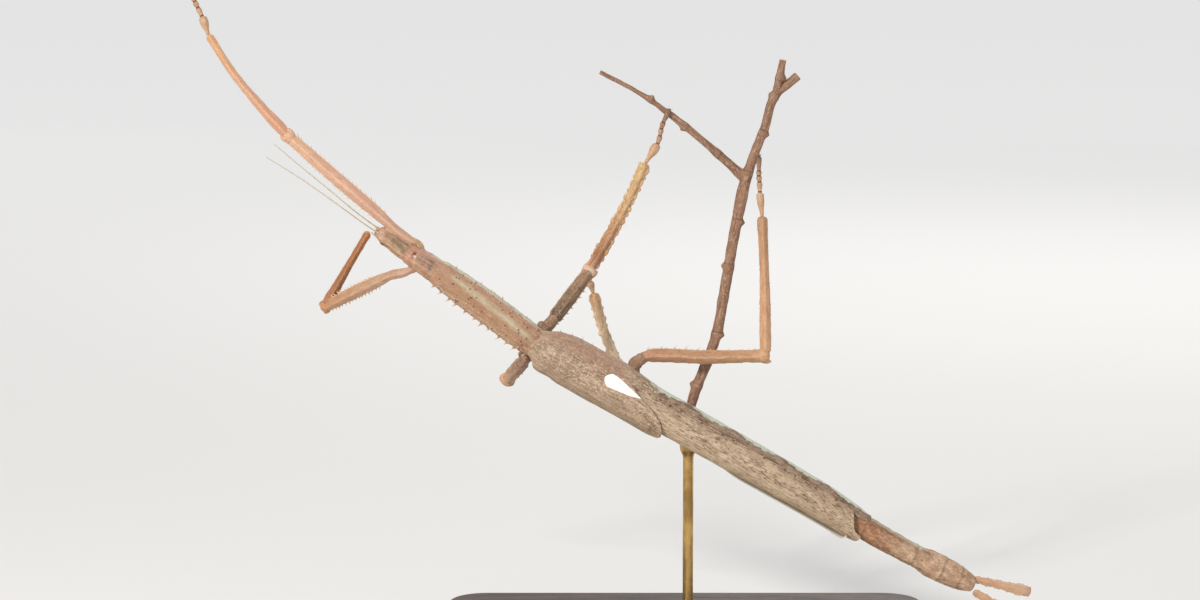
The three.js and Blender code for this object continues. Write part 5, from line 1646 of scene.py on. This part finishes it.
    def rosy_case(self) -> Shell:
        """The right case: a rosy shoulder, mottling further back, and a few spines along its side."""
        case = self.right_case
        at, _, angle = case.grid()
        lens = self.lens(at, angle)
        tone = layered(
            self.bark,
            (self.rose, window(at, 60, 87, 3.0) * 0.85),
            (self.cocoa, step(at, 86, 92) * 0.3),
            (self.mint, lens))
        blot = (0.4 + 0.6 * step(at, 85, 91)) * (1 - 0.7 * lens)
        sheet = case.shell(tone=tone, blot=blot, crinkle=0.4 + 0.6 * step(at, 84, 90))
        spots = np.array(self.spots)
        middle, tail, _, _ = BODY.frame(spots)
        feet = BODY.surface(spots, np.array(76.0), case.width(spots), case.height(spots))
        spines = thorns(feet, feet - middle, -tail, np.array([0.8, 1.0, 0.9, 1.1, 0.8]), np.full(5, 0.3),
                        tone=paint(176, 168, 124))
        return Shell.joined([sheet, spines])

    def bark_wing(self) -> Shell:
        """The left hind wing: bark-like, with a row of dark dots just inside its inner edge."""
        at, share, angle = self.left_hind.grid()
        flat = together(at * 0.4, angle * 0.11, 0.0)
        uneven = swell(flat, 4.0, 41)
        inner = 1 - step(share + 0.08 * uneven, 0.0, 0.3)
        tone = layered(
            self.cream,
            (self.cocoa, (0.35 + 0.65 * step(uneven, -0.2, 1.2)) * inner * 0.75),
            (self.cocoa, step(uneven, 0.3, 1.4) * (1 - step(share, 0.4, 0.8)) * 0.4))
        beat = np.abs((at / 3.6) % 1 - 0.5) * 3.6
        near = np.hypot(beat, (angle - self.left_hind.inner(at) + 4.5) * 0.1)
        dots = np.clip(1 - near / 0.8, 0, 1) * (swell(flat, 3.0, 44) > -0.3)
        return self.left_hind.shell(tone=tone, blot=1.0 - 0.4 * step(share, 0.3, 0.8), dots=dots)

    def pale_wing(self) -> Shell:
        """The right hind wing, which shows as a pale strip of lenses past the seam."""
        at, _, angle = self.right_hind.grid()
        uneven = swell(together(at * 0.4, angle * 0.11, 0.0), 4.0, 41)
        lens = self.lens(at, angle)
        tone = layered(
            self.cream,
            (self.cocoa, 0.45 + 0.4 * step(uneven, -0.4, 1.0)),
            (paint(108, 72, 56), hump(lens, 0.35, 0.3) * 0.6),
            (self.mint, lens))
        return self.right_hind.shell(tone=tone, blot=1 - 0.8 * lens, dots=0.0)

    def fan(self, side: int) -> Shell:
        """The pleated fan folded under a hind wing, showing past its outer edge, with painted shadow."""
        outer = profile(95, side * 112, 125, side * 117.5, 160, side * 117.5, 168.8, side * 108)
        sheet = WingSheet(5 if side < 0 else 6, (95, 168.8), HIND_WIDTH.moved(-self.under),
                          HIND_HEIGHT.moved(-self.under), profile(95, side * 4, 170, side * 4), outer,
                          0.2, 1.2, 72, 20, 0.2, 4.0, 6.0, 2.2 if side < 0 else 0.0)
        at, share, _ = sheet.grid()
        tone = layered(
            paint(206, 180, 158),
            # Painted shadow: a dark band along the fan where the hind wing's edge shades it.
            (paint(58, 40, 30), step(share, 0.86, 0.9) * step(at, 116, 132) * 0.9),
            (paint(214, 206, 182), step(share, 0.965, 0.985)))
        return sheet.shell(tone=tone, blot=0.3)

    def build(self, effects: Effects) -> None:
        """Places the cases, the hind wings and the fans."""
        case, wing, fan = (hide.material(effects) for hide in (self.case_hide, self.wing_hide, self.fan_hide))
        place("left_wing_case", self.bark_case(), case, Slot.WING, "tegmen_left")
        place("right_wing_case", self.rosy_case(), case, Slot.WING, "tegmen_right")
        place("left_hind_wing", self.bark_wing(), wing, Slot.WING, "hind_wing_left")
        place("right_hind_wing", self.pale_wing(), wing, Slot.WING, "hind_wing_right")
        place("left_wing_fan", self.fan(-1), fan, Slot.WING, "wing_fan_left")
        place("right_wing_fan", self.fan(1), fan, Slot.WING, "wing_fan_right")


# ---- Perch and stand ----


@dataclass(frozen=True)
class Stem:
    """A stem through a few points, with leaf scars: where each is in mm, and the side it faces in degrees."""

    points: Points
    radius: Profile
    scars: Pairs
    seed: int
    columns: int = 24

    def shell(self) -> Shell:
        """Circles along the path, uneven, swollen with a raised scar at each bud, cut square at both ends."""
        path = Path(self.points)
        length = path.length
        between = np.arange(0.35, length - 0.35, 0.45)
        places = np.concatenate([[0, 0, 0.03], between, [length - 0.03, length, length]])
        inset, cut = np.ones(len(places)), np.zeros(len(places))
        inset[[0, 1, -2, -1]] = 0.5, 0.93, 0.93, 0.5
        cut[[0, 1, -2, -1]] = 1
        turn = turns(self.columns)
        grain = together(places[:, None], 1.4 * np.cos(turn), 1.4 * np.sin(turn))
        rise = 0.05 * swell(grain * [0.25, 1, 1], 1.2, self.seed) + 0.06 * swell(grain, 5.0, self.seed + 1)
        crease_shade = np.zeros(rise.shape)
        for scar, facing in self.scars:
            aside = np.abs((np.degrees(turn) - facing + 180) % 360 - 180)
            off = np.abs(places - scar)[:, None]
            rise += 0.18 * hump(off, 0, 1.3) + 0.75 * hump(off, 0, 0.8) * hump(aside, 0, 32)
            # Painted shade: a thin dark ring just before each scar, where a crease would be shaded.
            crease_shade = np.maximum(crease_shade, hump(places[:, None], scar - 0.9, 0.16) * 0.9)
        size = (self.radius(places / length) * inset)[:, None] + rise * (1 - cut[:, None])
        rings = path.rings(places, size * np.cos(turn), size * np.sin(turn))
        grain = grain + [self.seed * 50.0, 0, 0]
        marks = {"grain": grain, "cut": cut[:, None], "ring": inset[:, None] * 1.3, "dots": crease_shade}
        return Shell.tubes(rings, marks)


@dataclass(frozen=True)
class Perch:
    """The cut length of branch with its short fork, and the twig that the middle leg grips."""

    branch: Stem = Stem(
        ((32.7, 2, 178.1), (25.8, 1, 172.2), (22.8, 0.5, 163.1), (17.4, 0, 148), (14.8, 0, 136.2),
         (11.9, 0, 119.4), (8, 0, 97.9), (2.4, 0, 83), (0, 0, 74), (0, 0, 66)),
        profile(0, 1.25, 0.08, 1.35, 0.2, 1.35, 0.3, 1.6, 0.35, 1.9, 0.4, 1.6, 0.7, 1.6, 0.93, 1.55,
                0.96, 1.5, 1, 1.5),
        ((9.5, 200), (21, 20), (34, 180), (49, 0), (63, 190), (84, 10), (101, 170)), 51, 30)
    fork: Stem = Stem(((25.6, 1, 171), (28.1, 0, 183.1)), profile(0, 1.25, 1, 1.05), ((7, 180),), 52)
    twig: Stem = Stem(
        ((17.6, 0.1, 147.0), (15.2, 0.2, 148.9), (9.4, 0.3, 154.1), (-4.1, 0.4, 165.3), (-14.6, 0.4, 172.8),
         (-27, 0, 179.5)),
        profile(0, 2.0, 0.05, 1.7, 0.1, 1.4, 0.2, 1.2, 0.45, 1, 0.52, 1.1, 0.62, 0.8, 1, 0.6),
        ((12, 90), (25, 10), (38, 180)), 53)
    bark: Bark = Bark()

    def build(self, effects: Effects) -> None:
        """Places the branch and the twig."""
        bark = self.bark.material(effects)
        wood = Shell.joined([self.branch.shell(), self.fork.shell()])
        place("branch", wood, bark, Slot.BARK, "perch_branch")
        place("twig", self.twig.shell(), bark, Slot.BARK, "perch_twig")


@dataclass(frozen=True)
class Stand:
    """The flat wooden base, and the brass rod with the cup that holds the branch."""

    length: float = 150.0
    depth: float = 90.0
    height: float = 9.0
    corner: float = 12.0
    chamfer: float = 1.0
    gap: float = 0.3
    rod_radius: float = 1.6
    cup_outer: float = 2.6
    cup_inner: float = 1.9
    cup_floor: float = 65.2
    cup_rim: float = 70.5

    def base(self) -> Shell:
        """A profile carried round a rounded rectangle: up the side, over a rounded edge and over the top."""
        turn = turns(96) + math.pi / 96
        way = together(np.cos(turn), np.sin(turn))
        corner = np.sign(way) * [self.length / 2 - self.corner, self.depth / 2 - self.corner]
        c, high = self.chamfer, self.height
        bend = np.linspace(0, QUARTER, 7)
        top = together(-c + c * np.cos(bend), high - c + c * np.sin(bend))
        bottom = together(-c + c * np.sin(bend), c - c * np.cos(bend))
        line = np.array([(-20, 0), (-6, 0), (-c - 0.3, 0), *bottom, (0, high / 2), *top,
                         (-c - 0.3, high), (-6, high), (-20, high)])
        inward = np.maximum(line[:, 0], -self.corner)
        shrink = 1 + (line[:, 0] - inward) / 40
        outline = corner[None] * shrink[:, None, None] + way[None] * (self.corner + inward)[:, None, None]
        rings = together(outline[..., 0], outline[..., 1], line[:, 1:])
        edge = hump(line[:, :1], -c * 0.4, 0.7) * (np.abs(line[:, 1:] - high / 2) > 3)
        return Shell.tubes(rings, {"grain": rings, "edge": edge})

    def rod(self) -> Shell:
        """A turned outline: a stepped foot, the rod, and a cup with a bead round its rim."""
        z, foot, rod = self.height + self.gap, 5.0, self.rod_radius
        outer, inner, floor, rim = self.cup_outer, self.cup_inner, self.cup_floor, self.cup_rim
        radius, up = np.array([
            (0.3, z), (foot - 0.2, z), (foot, z + 0.2), (foot, z + 1.2), (foot - 0.3, z + 1.5),
            (3.2, z + 1.9), (2.5, z + 2.3), (1.9, z + 3.1), (rod, z + 4.2),
            *((rod, at) for at in np.linspace(z + 5, floor - 4, 24)),
            (1.75, floor - 3), (2.3, floor - 1.8), (outer, floor - 0.8), (outer, rim - 1.2),
            (outer + 0.12, rim - 0.9), (outer + 0.12, rim - 0.3), (outer - (outer - inner) * 0.2, rim),
            (inner + 0.1, rim), (inner, rim - 0.2), (inner, floor + 0.1), (0.3, floor),
        ]).T[..., None]
        turn = turns(48)
        rings = together(radius * np.cos(turn), radius * np.sin(turn), up)
        return Shell.tubes(rings, {"grain": together(up, 1.6 * np.cos(turn), 1.6 * np.sin(turn))})

    def build(self, effects: Effects) -> None:
        """Places the base and the rod."""
        place("wooden_base", self.base(), StainedWood().material(effects), Slot.BASE, "stand_base")
        place("brass_rod", self.rod(), AgedBrass().material(effects), Slot.ROD, "stand_rod")


# ---- Studio ----


@dataclass(frozen=True)
class Studio:
    """A pale floor, a pale sky, soft lamps and the camera, in metres."""

    target: Point = (-0.027, -0.013, 0.112)
    distance: float = 1.0
    elevation: float = 8.0
    lens: float = 100.0
    floor_size: float = 20.0
    floor_tone: Colour = (0.86, 0.85, 0.83)
    sky: Colour = (0.97, 0.98, 1.0)
    sky_strength: float = 0.46
    lamps: tuple[tuple[str, Point, float, float, Colour], ...] = (  # name, place, size, watts, colour
        ("key", (-0.62, -0.95, 0.75), 0.16, 11.5, (1.0, 0.98, 0.95)),
        ("fill", (0.9, -0.8, 0.4), 0.8, 1.2, (0.96, 0.98, 1.0)),
        ("back", (0.3, 0.9, 0.9), 0.6, 5.0, (1.0, 0.99, 0.97)))

    def floor(self) -> None:
        """A large plane just under the stand, with a light of its own that grows away from the stand."""
        mesh = bpy.data.meshes.new("floor")
        half = self.floor_size / 2
        corners = [(-half, -half, 0), (half, -half, 0), (half, half, 0), (-half, half, 0)]
        mesh.from_pydata(corners, [], [(0, 1, 2, 3)])
        material, graph = Graph.blank("floor_paper")
        place = graph.add("ShaderNodeTexCoord").outputs["Object"]
        away = graph.add("ShaderNodeVectorMath", {0: place}, operation="LENGTH").outputs["Value"]
        glow = graph.lay((0.0, 0.0, 0.0), (0.38, 0.38, 0.38), graph.ramp(away, 0.25, 1.9))
        looks = {"Base Color": self.floor_tone, "Roughness": 0.9, "Emission Color": glow,
                 "Emission Strength": 1.0}
        shader = graph.add("ShaderNodeBsdfPrincipled", looks)
        graph.add("ShaderNodeOutputMaterial", {"Surface": shader.outputs[0]})
        mesh.materials.append(material)
        floor = linked("floor", mesh)
        floor.location = (0, 0, -0.0002)

    def lamp(self, name: str, at: Point, size: float, power: float, colour: Colour) -> None:
        """A square lamp that faces the insect."""
        data = bpy.data.lights.new(name, "AREA")
        data.size, data.energy, data.color = size, power, colour
        x, y, z = np.array(self.target) - np.array(at)
        lamp = linked(name, data)
        lamp.location = at
        lamp.rotation_euler = (math.atan2(math.hypot(x, y), -z), 0, math.atan2(y, x) - QUARTER)

    def build(self) -> None:
        """Sets up the floor, the sky, the lamps and the camera."""
        self.floor()
        world = bpy.data.worlds.new("pale_sky")
        world.use_nodes = True
        graph = Graph(world.node_tree)
        sky = graph.add("ShaderNodeBackground", {"Color": self.sky, "Strength": self.sky_strength})
        graph.add("ShaderNodeOutputWorld", {"Surface": sky.outputs[0]})
        scene = bpy.context.scene
        scene.world = world
        for lamp in self.lamps:
            self.lamp(*lamp)
        data = bpy.data.cameras.new("camera")
        data.lens, data.sensor_width = self.lens, 36.0
        camera = linked("camera", data)
        tilt = math.radians(self.elevation)
        back = np.array([0, -math.cos(tilt), math.sin(tilt)])
        camera.location = tuple(np.array(self.target) + back * self.distance)
        camera.rotation_euler = (QUARTER - tilt, 0, 0)
        scene.camera = camera
        scene.view_settings.view_transform = "Standard"


def main() -> None:
    """Builds the studio, then the insect from its skin outwards, then its perch and stand."""
    logging.basicConfig(level=logging.INFO, format="%(message)s")
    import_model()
    Studio().build()
    effects = Effects()
    Skin().build(effects)
    Eyes().build()
    Feelers().build(effects)
    TailPlates().build(effects)
    Wings().build(effects)
    Perch().build(effects)
    Stand().build(effects)
    bpy.context.view_layer.update()


if __name__ == "__main__":
    main()
